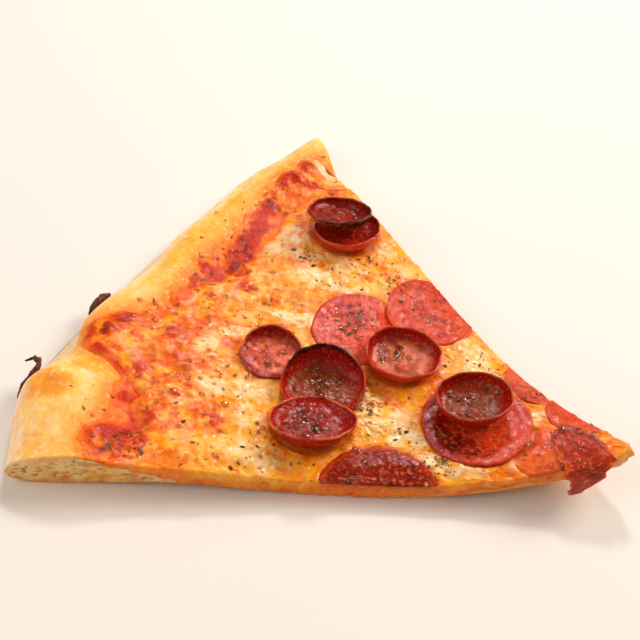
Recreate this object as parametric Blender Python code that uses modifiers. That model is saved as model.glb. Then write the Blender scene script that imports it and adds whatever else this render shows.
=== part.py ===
"""A slice of pepperoni pizza: one sixth of a 16-inch pie, as it lies once it is cut and served.

The slice is built in layers, the way a pizza is made: dough, sauce, cheese, then the pepperoni.
Sizes are in millimetres and are turned to metres by MM. While it is built, the pie's centre is at
the origin and the crust lies towards -X. The finished slice hangs from one empty, which moves the
origin to the middle of the slice's box, on the surface that it rests on.

A place on the slice is given by its radius from the pie's centre and its angle from the middle
line: -HALF_ANGLE is the near cut, on the -Y side, and +HALF_ANGLE is the far cut.
"""

import math

import bmesh
import bpy
from mathutils import Vector, noise
from mathutils.bvhtree import BVHTree

MM = 0.001

# The slice.
HALF_ANGLE = 29.6
TIP_RADIUS = 3.0
TIP_ROUNDING = 0.7
BASE_THICKNESS = 3.7
BASE_THICKNESS_AT_RIM = 5.6
RIM_FOOT_RADIUS = 165.0
GAP = 0.35

# How it lies: the tip curls up and to one side, and the near cut arches a little off the table.
CURL_START = 82.0
TIP_LIFT = 16.0
TIP_SWAY = 9.5
ARCH_HEIGHT = 3.2
ARCH_START = 100.0
ARCH_LENGTH = 98.0

# The rim, as (angle, size) pairs that are joined smoothly.
RIM_RADIUS = ((-30, 205), (-20.5, 209), (-14, 199), (-10.5, 202), (0, 196.2), (9, 199.6), (23, 207.6), (30, 212))
RIM_HEIGHT = ((-30, 14.5), (-21, 18.5), (-14, 12), (-8, 13.5), (4, 11.5), (20, 11), (30, 12.5))
RIM_BAND = ((-30, 50), (-20, 44), (-13, 28), (-7, 30), (5, 27), (18, 26), (30, 26))
CREST_SHARE = 0.4
RIM_EDGE_HEIGHT = 5.0
UNDERSIDE_SHARE = 0.22

# The rim's far corner is drawn out past the line of the far cut.
RIM_FLARE = 4.5
RIM_FLARE_START = 186.0
RIM_FLARE_LENGTH = 24.0
RIM_FLARE_FALL = 6

# Where the toppings stop; near -12 degrees both run over the rim in a tongue.
SAUCE_EDGE = (
    (-30, 178), (-27, 181), (-21, 177), (-15.6, 176), (-13.2, 197), (-11.2, 197), (-9.5, 189), (-6.8, 179),
    (0, 178), (5, 181.5), (10, 181), (15, 185), (23, 196), (27.5, 198), (30, 186),
)
CHEESE_EDGE = (
    (-30, 172), (-24, 166), (-17, 171), (-15.2, 174), (-13.2, 192), (-10.8, 192), (-7, 176),
    (0, 175), (4, 170), (10, 168), (15, 172), (20, 178), (25, 186), (30, 180),
)
SAUCE_THICKNESS = 0.9
CHEESE_THICKNESS = 2.4
CHEESE_EDGE_THICKNESS = 1.1
CHEESE_EDGE_RUN = 12.0
CHEESE_CUT_RUN = 7.0
CHEESE_UNEVENNESS = 0.7
CHEESE_LUMP_SIZE = 42.0

# The mesh: angular columns and the radial lines up to each edge, which all the layers share.
COLUMNS = 22
CHEESE_LINES = 11
SAUCE_LINES = 2
RIM_LINES = 7

# The cutter that trims pepperoni at the cuts, a height above everything, and rounds of place_of.
WEDGE_REACH = 230.0
WEDGE_STEPS = 24
PLACE_ROUNDS = 4
TALLEST = 60.0

# Pepperoni. Each piece lists those that it rests on, and those that press into its place, round
# which it is cut back. Flat pieces are (name, x, y, radius, raised edge, rests on, cut back round).
PEPPERONI_THICKNESS = 1.3
FLAT_CLEARANCE = 0.6
CUP_CLEARANCE = 0.5
CUT_BACK = 1.1
FLAT_RINGS = (0.0, 0.4, 0.75, 1.0)
SPREAD = 4.0
SPREAD_STEPS = 12
SEGMENTS = 18
FLATS = (
    ("pepperoni_flat_middle", -109.5, 16.0, 18.0, 0.3, (), ("pepperoni_flat_far_cut", "pepperoni_cup_middle")),
    ("pepperoni_flat_far_cut", -91.5, 38.5, 18.7, 0.3, (), ("pepperoni_cup_middle",)),
    ("pepperoni_flat_near_cut", -67.5, -46.5, 21.7, 0.3, (), ()),
    ("pepperoni_flat_tip_near", -29.5, -3.0, 10.5, 0.1, (), ("pepperoni_flat_large",)),
    ("pepperoni_flat_large", -53.6, -1.3, 19.2, 0.7, (), ()),
    ("pepperoni_strip_far_cut", -41.5, 29.5, 13.0, 0.2, (), ("pepperoni_flat_large", "pepperoni_flat_tip_far")),
    ("pepperoni_flat_tip_far", -24.5, 18.5, 10.8, 0.3, (), ("pepperoni_flat_tip_near",)),
)

# Cups are (name, x, y, half width, half depth, axis angle, high wall, low wall, direction of the
# high wall, how fast it falls, rests on, cut back round). Rings are (share of radius, of wall).
CUP_RINGS = ((0.0, 0.0), (0.5, 0.0), (0.8, 0.0), (0.93, 0.2), (1.0, 0.6), (0.99, 1.0))
CUPS = (
    ("pepperoni_cup_lower", -138.8, 59.6, 12.9, 12.9, 0, 4.6, 0.5, -45, 1.0, (), ()),
    ("pepperoni_cup_charred", -142.0, 61.0, 12.2, 11.6, 50, 9.0, 4.6, -42, 1.0, ("pepperoni_cup_lower",), ()),
    ("pepperoni_cup_folded", -129.5, -14.0, 11.0, 10.4, 32, 4.6, 0.3, 118, 2.0, (), ("pepperoni_cup_burnt_back",)),
    ("pepperoni_cup_burnt_back", -106.3, -17.0, 14.4, 13.0, 40, 8.6, 0.4, 125, 1.4, (), ("pepperoni_cup_front",)),
    ("pepperoni_cup_front", -101.3, -33.0, 14.5, 11.6, 34, 8.4, 1.2, -58, 1.2, (), ()),
    ("pepperoni_cup_middle", -88.4, 10.4, 13.5, 12.0, 31, 5.8, 4.4, -105, 1.0, (), ()),
    ("pepperoni_cup_on_flat", -57.3, 2.3, 12.7, 11.4, 30, 7.2, 5.4, -60, 1.0, ("pepperoni_flat_large",), ()),
)

# The torn piece that hangs over the near cut: (x, y, drop below the cheese, width) down its middle.
TORN_PATH = (
    (-26.5, 9.0, 0.0, 6.0), (-22.5, 6.2, 0.0, 13.0), (-17.8, 3.0, 0.0, 16.0), (-13.1, -2.0, 0.0, 15.0),
    (-12.0, -4.3, 3.0, 13.5), (-12.2, -5.2, 7.0, 11.0), (-12.8, -5.8, 11.0, 7.0), (-13.3, -6.2, 13.0, 3.5),
)
TORN_ACROSS = 4
TORN_THICKNESS = 1.1
TORN_RAGGEDNESS = 0.12
TORN_RAGGED_TURN = 2.3
TORN_TURN = 38.0
TORN_CLEARANCE = 0.8

# Burnt bits on the outside of the rim: (angle, distance outside the rim, height, radius).
BURNT_CURL = (
    (-20.9, 1.5, 3.6, 0.9), (-19.8, 1.9, 4.4, 1.1), (-18.6, 1.9, 6.0, 1.1), (-17.8, 1.9, 8.6, 0.9),
    (-17.4, 2.4, 11.4, 0.8), (-17.6, 3.8, 13.0, 0.7), (-18.1, 5.2, 12.0, 0.4),
)
BURNT_FLAKE = ((-8.8, 1.2, 5.5, 0.5), (-7.9, 1.8, 7.0, 1.2), (-6.7, 1.8, 7.8, 1.3), (-5.7, 1.2, 7.2, 0.5))

# Colours are linear RGB, with each one's roughness.
FINISHES = {
    "dough": ((0.83, 0.56, 0.26), 0.7),
    "sauce": ((0.50, 0.05, 0.01), 0.4),
    "cheese": ((0.85, 0.42, 0.08), 0.35),
    "pepperoni": ((0.38, 0.04, 0.02), 0.35),
    "burnt": ((0.06, 0.025, 0.012), 0.7),
}


def smooth_between(pairs, angle):
    """Value at an angle, eased between the neighbouring (angle, value) pairs."""
    if angle <= pairs[0][0]:
        return pairs[0][1]
    for (a0, v0), (a1, v1) in zip(pairs, pairs[1:]):
        if angle <= a1:
            share = (angle - a0) / (a1 - a0)
            return v0 + (v1 - v0) * (3 - 2 * share) * share * share
    return pairs[-1][1]


def curl(radius):
    """Share of the tip's curl at a radius: 0 on the flat part and 1 at the pie's centre."""
    return max(0.0, (CURL_START - radius) / CURL_START) ** 2


def plan(radius, angle):
    """X and Y of a place on the slice."""
    turn = math.radians(angle)
    along_rim = min(1.0, max(0.0, (radius - RIM_FLARE_START) / RIM_FLARE_LENGTH))
    flare = RIM_FLARE * along_rim * max(0.0, angle / HALF_ANGLE) ** RIM_FLARE_FALL
    return -radius * math.cos(turn), radius * math.sin(turn) + TIP_SWAY * curl(radius) + flare


def place_of(x, y):
    """Radius and angle of a place in plan, with the angle held between the two cuts."""
    radius = math.hypot(x, y)
    for _ in range(PLACE_ROUNDS):
        straight_y = y - TIP_SWAY * curl(radius)
        radius = math.hypot(x, straight_y)
    angle = math.degrees(math.atan2(straight_y, -x))
    return radius, max(-HALF_ANGLE, min(HALF_ANGLE, angle))


def underside(radius, angle):
    """Height of the slice's underside, away from the rounding at the rim."""
    along = min(1.0, max(0.0, (radius - ARCH_START) / ARCH_LENGTH))
    near = max(0.0, -angle / HALF_ANGLE)
    return TIP_LIFT * curl(radius) + ARCH_HEIGHT * near * math.sin(math.pi * along) ** 2


def rim_share(radius, angle):
    """0 at the rim's outer edge, 1 where it meets the flat base."""
    return (smooth_between(RIM_RADIUS, angle) - radius) / smooth_between(RIM_BAND, angle)


def dough_bottom(radius, angle):
    """Height of the dough's underside, which turns up at the rim."""
    share = rim_share(radius, angle)
    height = underside(radius, angle)
    if share < UNDERSIDE_SHARE:
        turn = 1 - max(0.0, share) / UNDERSIDE_SHARE
        height += (RIM_EDGE_HEIGHT - GAP) * (1 - math.sqrt(1 - turn * turn))
    return height


def dough_top(radius, angle):
    """Height of the dough's top: a thin base, then the rim with its crest and rounded outer edge."""
    inward = min(1.0, radius / RIM_FOOT_RADIUS)
    base = BASE_THICKNESS + (BASE_THICKNESS_AT_RIM - BASE_THICKNESS) * inward ** 3
    crest = smooth_between(RIM_HEIGHT, angle)
    share = rim_share(radius, angle)
    if share >= 1:
        height = base
    elif share > CREST_SHARE:
        fall = (share - CREST_SHARE) / (1 - CREST_SHARE)
        height = base + (crest - base) * (0.5 + 0.5 * math.cos(math.pi * fall))
    else:
        turn = 1 - max(0.0, share) / CREST_SHARE
        height = RIM_EDGE_HEIGHT + (crest - RIM_EDGE_HEIGHT) * math.sqrt(1 - turn * turn)
    return underside(radius, angle) + height


def sauce_bottom(radius, angle):
    """Height of the sauce's underside, just clear of the dough."""
    return dough_top(radius, angle) + GAP


def sauce_top(radius, angle):
    """Height of the sauce's top."""
    return sauce_bottom(radius, angle) + SAUCE_THICKNESS


def cheese_bottom(radius, angle):
    """Height of the cheese's underside, just clear of the sauce."""
    return sauce_top(radius, angle) + GAP


def cheese_top(radius, angle):
    """Height of the cheese's top, uneven in the middle and thinning towards its edge."""
    inside = (smooth_between(CHEESE_EDGE, angle) - radius) / CHEESE_EDGE_RUN
    from_cut = radius * math.sin(math.radians(HALF_ANGLE - abs(angle))) / CHEESE_CUT_RUN
    cover = min(1.0, max(0.0, min(inside, from_cut)))
    x, y = plan(radius, angle)
    lump = noise.noise(Vector((x / CHEESE_LUMP_SIZE, y / CHEESE_LUMP_SIZE, 0.5)))
    full = CHEESE_THICKNESS + CHEESE_UNEVENNESS * lump
    return cheese_bottom(radius, angle) + CHEESE_EDGE_THICKNESS + (full - CHEESE_EDGE_THICKNESS) * cover


def radial_lines(angle):
    """Radii of the mesh's lines at an angle, from the tip to the cheese's, sauce's and rim's edge."""
    across = angle / HALF_ANGLE
    tip = TIP_RADIUS * (1 + TIP_ROUNDING * across * across)
    cheese = smooth_between(CHEESE_EDGE, angle)
    sauce = smooth_between(SAUCE_EDGE, angle)
    rim = smooth_between(RIM_RADIUS, angle)
    lines = []
    for i in range(CHEESE_LINES + 1):
        lines.append(tip + (cheese - tip) * (1 - (1 - i / CHEESE_LINES) ** 1.35))
    for i in range(1, SAUCE_LINES + 1):
        lines.append(cheese + (sauce - cheese) * i / SAUCE_LINES)
    for i in range(1, RIM_LINES + 1):
        lines.append(rim - (rim - sauce) * (1 - math.sin(math.pi / 2 * i / RIM_LINES)))
    return lines


def add_object(name, mesh, finish, collection):
    """Put a mesh in the scene as a named object with its own material."""
    colour, roughness = FINISHES[finish]
    material = bpy.data.materials.new(name + "_material")
    material.use_nodes = True
    shader = material.node_tree.nodes["Principled BSDF"]
    shader.inputs["Base Color"].default_value = (*colour, 1.0)
    shader.inputs["Roughness"].default_value = roughness
    shader.inputs["Metallic"].default_value = 0.0
    mesh.materials.append(material)
    piece = bpy.data.objects.new(name, mesh)
    collection.objects.link(piece)
    return piece


def finish_mesh(bm, name):
    """Turn a closed bmesh into a smooth-shaded mesh with its faces pointing out."""
    bmesh.ops.recalc_face_normals(bm, faces=bm.faces)
    mesh = bpy.data.meshes.new(name)
    bm.to_mesh(mesh)
    bm.free()
    mesh.shade_smooth()
    mesh.set_sharp_from_angle(angle=math.radians(40))
    return mesh


def sheet(bm, lines, height):
    """Add a grid that covers the slice out to one of its lines, and return its boundary edges."""
    grid = bmesh.ops.create_grid(bm, x_segments=COLUMNS, y_segments=lines, size=0.5)
    for vert in grid["verts"]:
        column = round((vert.co.x + 0.5) * COLUMNS)
        line = round((vert.co.y + 0.5) * lines)
        angle = HALF_ANGLE * (2 * column / COLUMNS - 1)
        radius = radial_lines(angle)[line]
        x, y = plan(radius, angle)
        vert.co = Vector((x, y, height(radius, angle))) * MM
    return {edge for vert in grid["verts"] for edge in vert.link_edges if edge.is_boundary}


def layer(name, lines, bottom, top, collection):
    """A layer of the slice: its top and its underside as two grids, bridged round their edges."""
    bm = bmesh.new()
    edges = sheet(bm, lines, top) | sheet(bm, lines, bottom)
    bmesh.ops.triangulate(bm, faces=bm.faces, quad_method="FIXED")
    bmesh.ops.bridge_loops(bm, edges=list(edges))
    return add_object(name, finish_mesh(bm, name), name, collection)


def tree_of(piece):
    """Search tree of a piece's mesh as its modifiers leave it."""
    return BVHTree.FromObject(piece, bpy.context.evaluated_depsgraph_get())


def height_at(tree, x, y):
    """Height of a piece's top at X and Y, or None beside the piece."""
    hit = tree.ray_cast(Vector((x, y, TALLEST)) * MM, Vector((0, 0, -1)))[0]
    return None if hit is None else hit.z / MM


def height_below(trees, x, y):
    """Height to rest on at X and Y: that of the cheese, or of any piece that lies close by."""
    cheese, *pieces = trees
    height = height_at(cheese, x, y)
    if height is None:
        height = cheese_top(*place_of(x, y))
    heights = [height]
    for tree in pieces:
        heights.append(height_at(tree, x, y))
        for i in range(SPREAD_STEPS):
            turn = 2 * math.pi * i / SPREAD_STEPS
            heights.append(height_at(tree, x + SPREAD * math.cos(turn), y + SPREAD * math.sin(turn)))
    return max(height for height in heights if height is not None)


def ringed_disc(rings, place):
    """A disc of rings round a middle point; place gives each vertex from its ring and its turn."""
    bm = bmesh.new()
    ring_of = bm.verts.layers.int.new("ring")
    circle = bmesh.ops.create_circle(bm, cap_ends=True, cap_tris=True, segments=SEGMENTS, radius=1.0)
    for vert in circle["verts"]:
        vert[ring_of] = round(vert.co.length)
    outer = [edge for edge in bm.edges if edge.is_boundary]
    for ring in range(2, len(rings)):
        grown = bmesh.ops.extrude_edge_only(bm, edges=outer)["geom"]
        outer = [item for item in grown if isinstance(item, bmesh.types.BMEdge)]
        for item in grown:
            if isinstance(item, bmesh.types.BMVert):
                item[ring_of] = ring
    for vert in bm.verts:
        turn = math.atan2(vert.co.y, vert.co.x)
        vert.co = place(rings[vert[ring_of]], turn) * MM
    return bm


def solidify(piece, thickness):
    """Give an open surface its thickness, half to each side."""
    shell = piece.modifiers.new("thickness", "SOLIDIFY")
    shell.thickness = thickness * MM
    shell.offset = 0.0
    shell.use_even_offset = True


def trim(piece, cutter, operation):
    """Cut a piece with a cutter: INTERSECT keeps what is inside it, DIFFERENCE what is outside."""
    cut = piece.modifiers.new("cut", "BOOLEAN")
    cut.operation = operation
    cut.solver = "EXACT"
    cut.object = cutter


def flat_pepperoni(spec, trees, collection):
    """A flat piece, draped over what is below it, with its edge curling up a little."""
    name, centre_x, centre_y, radius, raised, _, _ = spec

    def place(share, turn):
        x = centre_x + radius * share * math.cos(turn)
        y = centre_y + radius * share * math.sin(turn)
        lift = FLAT_CLEARANCE + PEPPERONI_THICKNESS / 2 + raised * share ** 4
        return Vector((x, y, height_below(trees, x, y) + lift))

    piece = add_object(name, finish_mesh(ringed_disc(FLAT_RINGS, place), name), "pepperoni", collection)
    solidify(piece, PEPPERONI_THICKNESS)
    return piece


def cup_pepperoni(spec, trees, collection):
    """A piece whose edge has curled up into a wall, higher on one side than on the other."""
    name, centre_x, centre_y, half_width, half_depth, axis, high, low, towards, falloff, _, _ = spec
    turned = math.radians(axis)

    def place(ring, turn):
        share, wall = ring
        along = half_width * share * math.cos(turn)
        across = half_depth * share * math.sin(turn)
        facing = math.cos(turn + turned - math.radians(towards))
        height = low + (high - low) * (0.5 + 0.5 * facing) ** falloff
        x = centre_x + along * math.cos(turned) - across * math.sin(turned)
        y = centre_y + along * math.sin(turned) + across * math.cos(turned)
        return Vector((x, y, wall * height))

    bm = ringed_disc(CUP_RINGS, place)
    floor = floor_plane([vert.co / MM for vert in bm.verts], trees)
    for vert in bm.verts:
        vert.co.z += (floor(vert.co.x / MM, vert.co.y / MM) + CUP_CLEARANCE + PEPPERONI_THICKNESS / 2) * MM
    piece = add_object(name, finish_mesh(bm, name), "pepperoni", collection)
    solidify(piece, PEPPERONI_THICKNESS)
    return piece


def floor_plane(points, trees):
    """Lowest sloping plane that clears what is below the points, as a function of X and Y."""
    middle_x = sum(point.x for point in points) / len(points)
    middle_y = sum(point.y for point in points) / len(points)
    below = [(point, height_below(trees, point.x, point.y)) for point in points]
    spread_x = sum((point.x - middle_x) ** 2 for point in points)
    spread_y = sum((point.y - middle_y) ** 2 for point in points)
    mean = sum(height for _, height in below) / len(below)
    slope_x = sum((point.x - middle_x) * (height - mean) for point, height in below) / spread_x
    slope_y = sum((point.y - middle_y) * (height - mean) for point, height in below) / spread_y

    def plane(x, y):
        return slope_x * (x - middle_x) + slope_y * (y - middle_y)

    rise = max(height - plane(point.x, point.y) - point.z for point, height in below)
    return lambda x, y: plane(x, y) + rise


def torn_pepperoni(trees, collection):
    """The ragged piece that lies on the cheese near the tip and hangs down over the near cut."""
    name = "pepperoni_torn_hanging"
    edge_turn = math.radians(TORN_TURN)
    bm = bmesh.new()
    steps = len(TORN_PATH) - 1
    grid = bmesh.ops.create_grid(bm, x_segments=TORN_ACROSS, y_segments=steps, size=0.5)
    edge_x, edge_y = TORN_PATH[3][0:2]
    for vert in grid["verts"]:
        step = round((vert.co.y + 0.5) * steps)
        centre_x, centre_y, drop, width = TORN_PATH[step]
        side = vert.co.x * width * (1 + TORN_RAGGEDNESS * math.sin(TORN_RAGGED_TURN * step))
        x = centre_x + side * math.cos(edge_turn)
        y = centre_y + side * math.sin(edge_turn)
        on_x = x if drop == 0 else edge_x + side * math.cos(edge_turn)
        on_y = y if drop == 0 else edge_y + side * math.sin(edge_turn)
        height = height_below(trees, on_x, on_y) + TORN_CLEARANCE + TORN_THICKNESS / 2
        vert.co = Vector((x, y, height - drop)) * MM
    piece = add_object(name, finish_mesh(bm, name), "pepperoni", collection)
    solidify(piece, TORN_THICKNESS)
    return piece


def burnt_bit(name, path, collection):
    """A thin burnt strand on the outside of the rim, as a tapering tube through its path."""
    curve = bpy.data.curves.new(name, "CURVE")
    curve.dimensions = "3D"
    curve.bevel_depth = MM
    curve.bevel_resolution = 1
    curve.use_fill_caps = True
    spline = curve.splines.new("POLY")
    spline.points.add(len(path) - 1)
    for point, (angle, outside, height, radius) in zip(spline.points, path):
        x, y = plan(smooth_between(RIM_RADIUS, angle) + outside, angle)
        point.co = (x * MM, y * MM, height * MM, 1.0)
        point.radius = radius
    return add_object(name, curve, "burnt", collection)


def prism(name, outline, collection):
    """A cutter: a tall prism on an outline of X and Y pairs."""
    bm = bmesh.new()
    base = bm.faces.new([bm.verts.new(Vector((x, y, -TALLEST)) * MM) for x, y in outline])
    grown = bmesh.ops.extrude_face_region(bm, geom=[base])["geom"]
    for item in grown:
        if isinstance(item, bmesh.types.BMVert):
            item.co.z = TALLEST * MM
    bmesh.ops.recalc_face_normals(bm, faces=bm.faces)
    mesh = bpy.data.meshes.new(name)
    bm.to_mesh(mesh)
    bm.free()
    cutter = bpy.data.objects.new(name, mesh)
    cutter.hide_render = True
    cutter.display_type = "WIRE"
    collection.objects.link(cutter)
    return cutter


def slice_outline():
    """The slice's plan, run on past the rim."""
    steps = [TIP_RADIUS + (WEDGE_REACH - TIP_RADIUS) * i / WEDGE_STEPS for i in range(WEDGE_STEPS + 1)]
    near = [plan(radius, -HALF_ANGLE) for radius in steps]
    far = [plan(radius, HALF_ANGLE) for radius in reversed(steps)]
    return near + far


def footprint(spec):
    """A pepperoni's outline in plan, grown by the clearance that its neighbours keep."""
    _, centre_x, centre_y, half_width, half_depth, axis = spec[:6]
    if spec in FLATS:
        half_depth, axis = half_width, 0
    turned = math.radians(axis)
    outline = []
    for i in range(2 * SEGMENTS):
        turn = math.pi * i / SEGMENTS
        along = (half_width + CUT_BACK) * math.cos(turn)
        across = (half_depth + CUT_BACK) * math.sin(turn)
        outline.append((
            centre_x + along * math.cos(turned) - across * math.sin(turned),
            centre_y + along * math.sin(turned) + across * math.cos(turned),
        ))
    return outline


def box_of(pieces):
    """Lowest and highest corner of the pieces as their modifiers leave them."""
    depsgraph = bpy.context.evaluated_depsgraph_get()
    corners = [corner for piece in pieces for corner in piece_corners(piece, depsgraph)]
    low = Vector([min(corner[axis] for corner in corners) for axis in range(3)])
    high = Vector([max(corner[axis] for corner in corners) for axis in range(3)])
    return low, high


def piece_corners(piece, depsgraph):
    """Points of a piece's evaluated mesh."""
    evaluated = piece.evaluated_get(depsgraph)
    points = [vert.co.copy() for vert in evaluated.to_mesh().vertices]
    evaluated.to_mesh_clear()
    return points


def new_collection(name):
    """An empty collection in the scene."""
    collection = bpy.data.collections.new(name)
    bpy.context.scene.collection.children.link(collection)
    return collection


def main():
    """Build the slice and put its origin under the middle of its box."""
    for piece in list(bpy.data.objects):
        bpy.data.objects.remove(piece)
    slice_collection = new_collection("pepperoni_pizza_slice")
    cutters = new_collection("cutters")
    wedge = prism("wedge", slice_outline(), cutters)
    footprints = {spec[0]: prism(spec[0] + "_footprint", footprint(spec), cutters) for spec in FLATS + CUPS}

    all_lines = CHEESE_LINES + SAUCE_LINES + RIM_LINES
    pieces = [
        layer("dough", all_lines, dough_bottom, dough_top, slice_collection),
        layer("sauce", CHEESE_LINES + SAUCE_LINES, sauce_bottom, sauce_top, slice_collection),
        layer("cheese", CHEESE_LINES, cheese_bottom, cheese_top, slice_collection),
    ]
    trees = {"cheese": tree_of(pieces[-1])}
    for spec in FLATS + CUPS:
        name, rests_on, cut_back_round = spec[0], spec[-2], spec[-1]
        below = [trees["cheese"]] + [trees[other] for other in rests_on]
        make = flat_pepperoni if spec in FLATS else cup_pepperoni
        piece = make(spec, below, slice_collection)
        trees[name] = tree_of(piece)
        if spec in FLATS:
            trim(piece, wedge, "INTERSECT")
        for other in cut_back_round:
            trim(piece, footprints[other], "DIFFERENCE")
        pieces.append(piece)
    under_torn = [trees["cheese"], trees["pepperoni_flat_tip_near"], trees["pepperoni_flat_tip_far"]]
    pieces.append(torn_pepperoni(under_torn, slice_collection))
    pieces.append(burnt_bit("burnt_curl", BURNT_CURL, slice_collection))
    pieces.append(burnt_bit("burnt_flake", BURNT_FLAKE, slice_collection))

    low, high = box_of(pieces)
    origin = bpy.data.objects.new("slice_origin", None)
    slice_collection.objects.link(origin)
    origin.location = (-(low.x + high.x) / 2, -(low.y + high.y) / 2, -low.z)
    for piece in pieces + list(cutters.objects):
        piece.parent = origin


if __name__ == "__main__":
    main()
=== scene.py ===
"""Looks of a baked slice of pepperoni pizza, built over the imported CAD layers.

Lengths are millimetres until a mesh is made. The pie's centre is the origin of the slice's plan and
the rim lies towards -X, as in the CAD source; SliceForm.offset moves that plan onto the CAD frame.
A place on the slice is a radius from the pie's centre and an angle from the middle line, which is
negative towards the near cut.
"""

import logging
import math
from dataclasses import dataclass
from enum import Enum
from itertools import product

import bpy
import numpy as np
from mathutils import Matrix, Vector, noise
from mathutils.bvhtree import BVHTree


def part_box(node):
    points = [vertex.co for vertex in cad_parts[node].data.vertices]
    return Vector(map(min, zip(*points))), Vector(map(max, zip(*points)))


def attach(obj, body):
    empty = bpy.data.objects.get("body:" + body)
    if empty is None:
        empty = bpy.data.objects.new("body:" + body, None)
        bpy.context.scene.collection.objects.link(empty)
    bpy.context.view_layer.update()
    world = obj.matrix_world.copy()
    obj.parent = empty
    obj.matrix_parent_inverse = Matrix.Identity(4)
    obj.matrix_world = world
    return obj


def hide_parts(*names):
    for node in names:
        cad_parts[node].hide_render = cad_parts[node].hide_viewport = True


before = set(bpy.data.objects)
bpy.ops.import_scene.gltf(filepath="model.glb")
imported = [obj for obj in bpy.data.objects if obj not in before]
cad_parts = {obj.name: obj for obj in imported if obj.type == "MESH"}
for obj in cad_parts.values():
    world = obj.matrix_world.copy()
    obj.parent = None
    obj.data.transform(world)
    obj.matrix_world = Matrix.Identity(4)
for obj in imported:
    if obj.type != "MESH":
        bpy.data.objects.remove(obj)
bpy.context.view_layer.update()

LOG = logging.getLogger("pizza")
MM = 0.001
Array = np.ndarray
Pairs = tuple[tuple[float, float], ...]
Span = tuple[float, float]
Piece = bpy.types.Object
Tree = bpy.types.NodeTree
Socket = bpy.types.NodeSocket
# Numbers that scramble a lattice point into a repeatable one.
PRIMES = (73856093, 19349663, 83492791)
MIXERS = (2654435761, 2246822519, 3266489917)
WORD = 0xFFFFFFFF
# Each octave of grain: how many times finer it is, and its weight.
OCTAVES: Pairs = ((1.0, 1.0), (2.1, 0.5), (4.3, 0.28))
# Height that rays are cast down from, in metres.
RAY_HEIGHT = 1.0
# One standard deviation of a sprinkled group, as a share of its spread.
NARROWED = 0.7


# ---- small tools


def linear(colour: str) -> Array:
    """Turn an sRGB hex colour into linear RGB.

    Args:
        colour: A colour such as "#ffb629".

    Returns:
        Three linear values.
    """
    parts = np.array([int(colour[i : i + 2], 16) for i in (1, 3, 5)]) / 255
    return np.where(parts <= 0.04045, parts / 12.92, ((parts + 0.055) / 1.055) ** 2.4)


def ease(value: Array, low: float, high: float) -> Array:
    """Smooth step of a value from 0 at low to 1 at high."""
    share = np.clip((value - low) / (high - low), 0, 1)
    return share * share * (3 - 2 * share)


def blend(under: Array | str, over: Array | str, share: Array) -> Array:
    """Mix two colours, each an sRGB hex colour or a field of linear ones, by a field of shares."""
    under, over = (linear(colour) if isinstance(colour, str) else colour for colour in (under, over))
    return under + (over - under) * np.clip(share, 0, 1)[..., None]


def smooth_between(pairs: Pairs, at: Array) -> Array:
    """Read a curve through (place, value) pairs, eased from each pair to the next.

    Args:
        pairs: The curve's places and values, in rising order of place.
        at: Where to read it.

    Returns:
        The curve's value at each place, held level past both ends.
    """
    places, values = np.array(pairs, float).T
    held = np.clip(at, places[0], places[-1])
    upper = np.clip(np.searchsorted(places, held), 1, len(places) - 1)
    share = (held - places[upper - 1]) / (places[upper] - places[upper - 1])
    return values[upper - 1] + (values[upper] - values[upper - 1]) * share * share * (3 - 2 * share)


def lattice(corner: Array, seed: int) -> Array:
    """A repeatable 30-bit number for each whole-numbered lattice point."""
    mixed = (corner[..., 0] * PRIMES[0]) ^ (corner[..., 1] * PRIMES[1]) ^ (corner[..., 2] * PRIMES[2])
    mixed = (mixed ^ (seed * MIXERS[0])) & WORD
    mixed = ((mixed ^ (mixed >> 15)) * MIXERS[1]) & WORD
    mixed = ((mixed ^ (mixed >> 13)) * MIXERS[2]) & WORD
    return (mixed ^ (mixed >> 16)) & 0x3FFFFFFF


def grain(x: Array, y: Array, size: float, seed: int, z: Array | float = 0.0) -> Array:
    """Smooth gradient noise.

    Args:
        x: Places along X, in mm.
        y: Places along Y, in mm.
        size: Distance from one lump to the next, in mm.
        seed: Which pattern.
        z: Places along Z, in mm.

    Returns:
        A value from about -1 to 1 at each place.
    """
    at = np.stack(np.broadcast_arrays(x, y, z), -1) / size + 0.37 * seed
    base = np.floor(at).astype(np.int64)
    part = at - base
    eased = part**3 * (part * (part * 6 - 15) + 10)
    total = np.zeros(part.shape[:-1])
    for corner in product((0, 1), repeat=3):
        step = np.array(corner)
        number = lattice(base + step, seed)
        slope = np.stack([((number >> shift) & 1023) / 511.5 - 1 for shift in (0, 10, 20)], -1)
        weight = np.prod(np.where(step == 1, eased, 1 - eased), -1)
        total += weight * np.sum((part - step) * slope, -1)
    return total * 1.6


def layered(x: Array, y: Array, size: float, seed: int, z: Array | float = 0.0) -> Array:
    """Three octaves of grain, each half the size and about half the strength of the last."""
    parts = (weight * grain(x, y, size / finer, seed + i, z) for i, (finer, weight) in enumerate(OCTAVES))
    return sum(parts)


@dataclass(frozen=True)
class Lumps:
    """One pattern of lumps: distance from one to the next in mm, their strength, and the seed."""

    size: float
    strength: float
    seed: int

    def at(self, x: Array, y: Array, z: Array | float = 0.0) -> Array:
        """Height or strength of the pattern at each place."""
        return self.strength * layered(x, y, self.size, self.seed, z)


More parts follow.
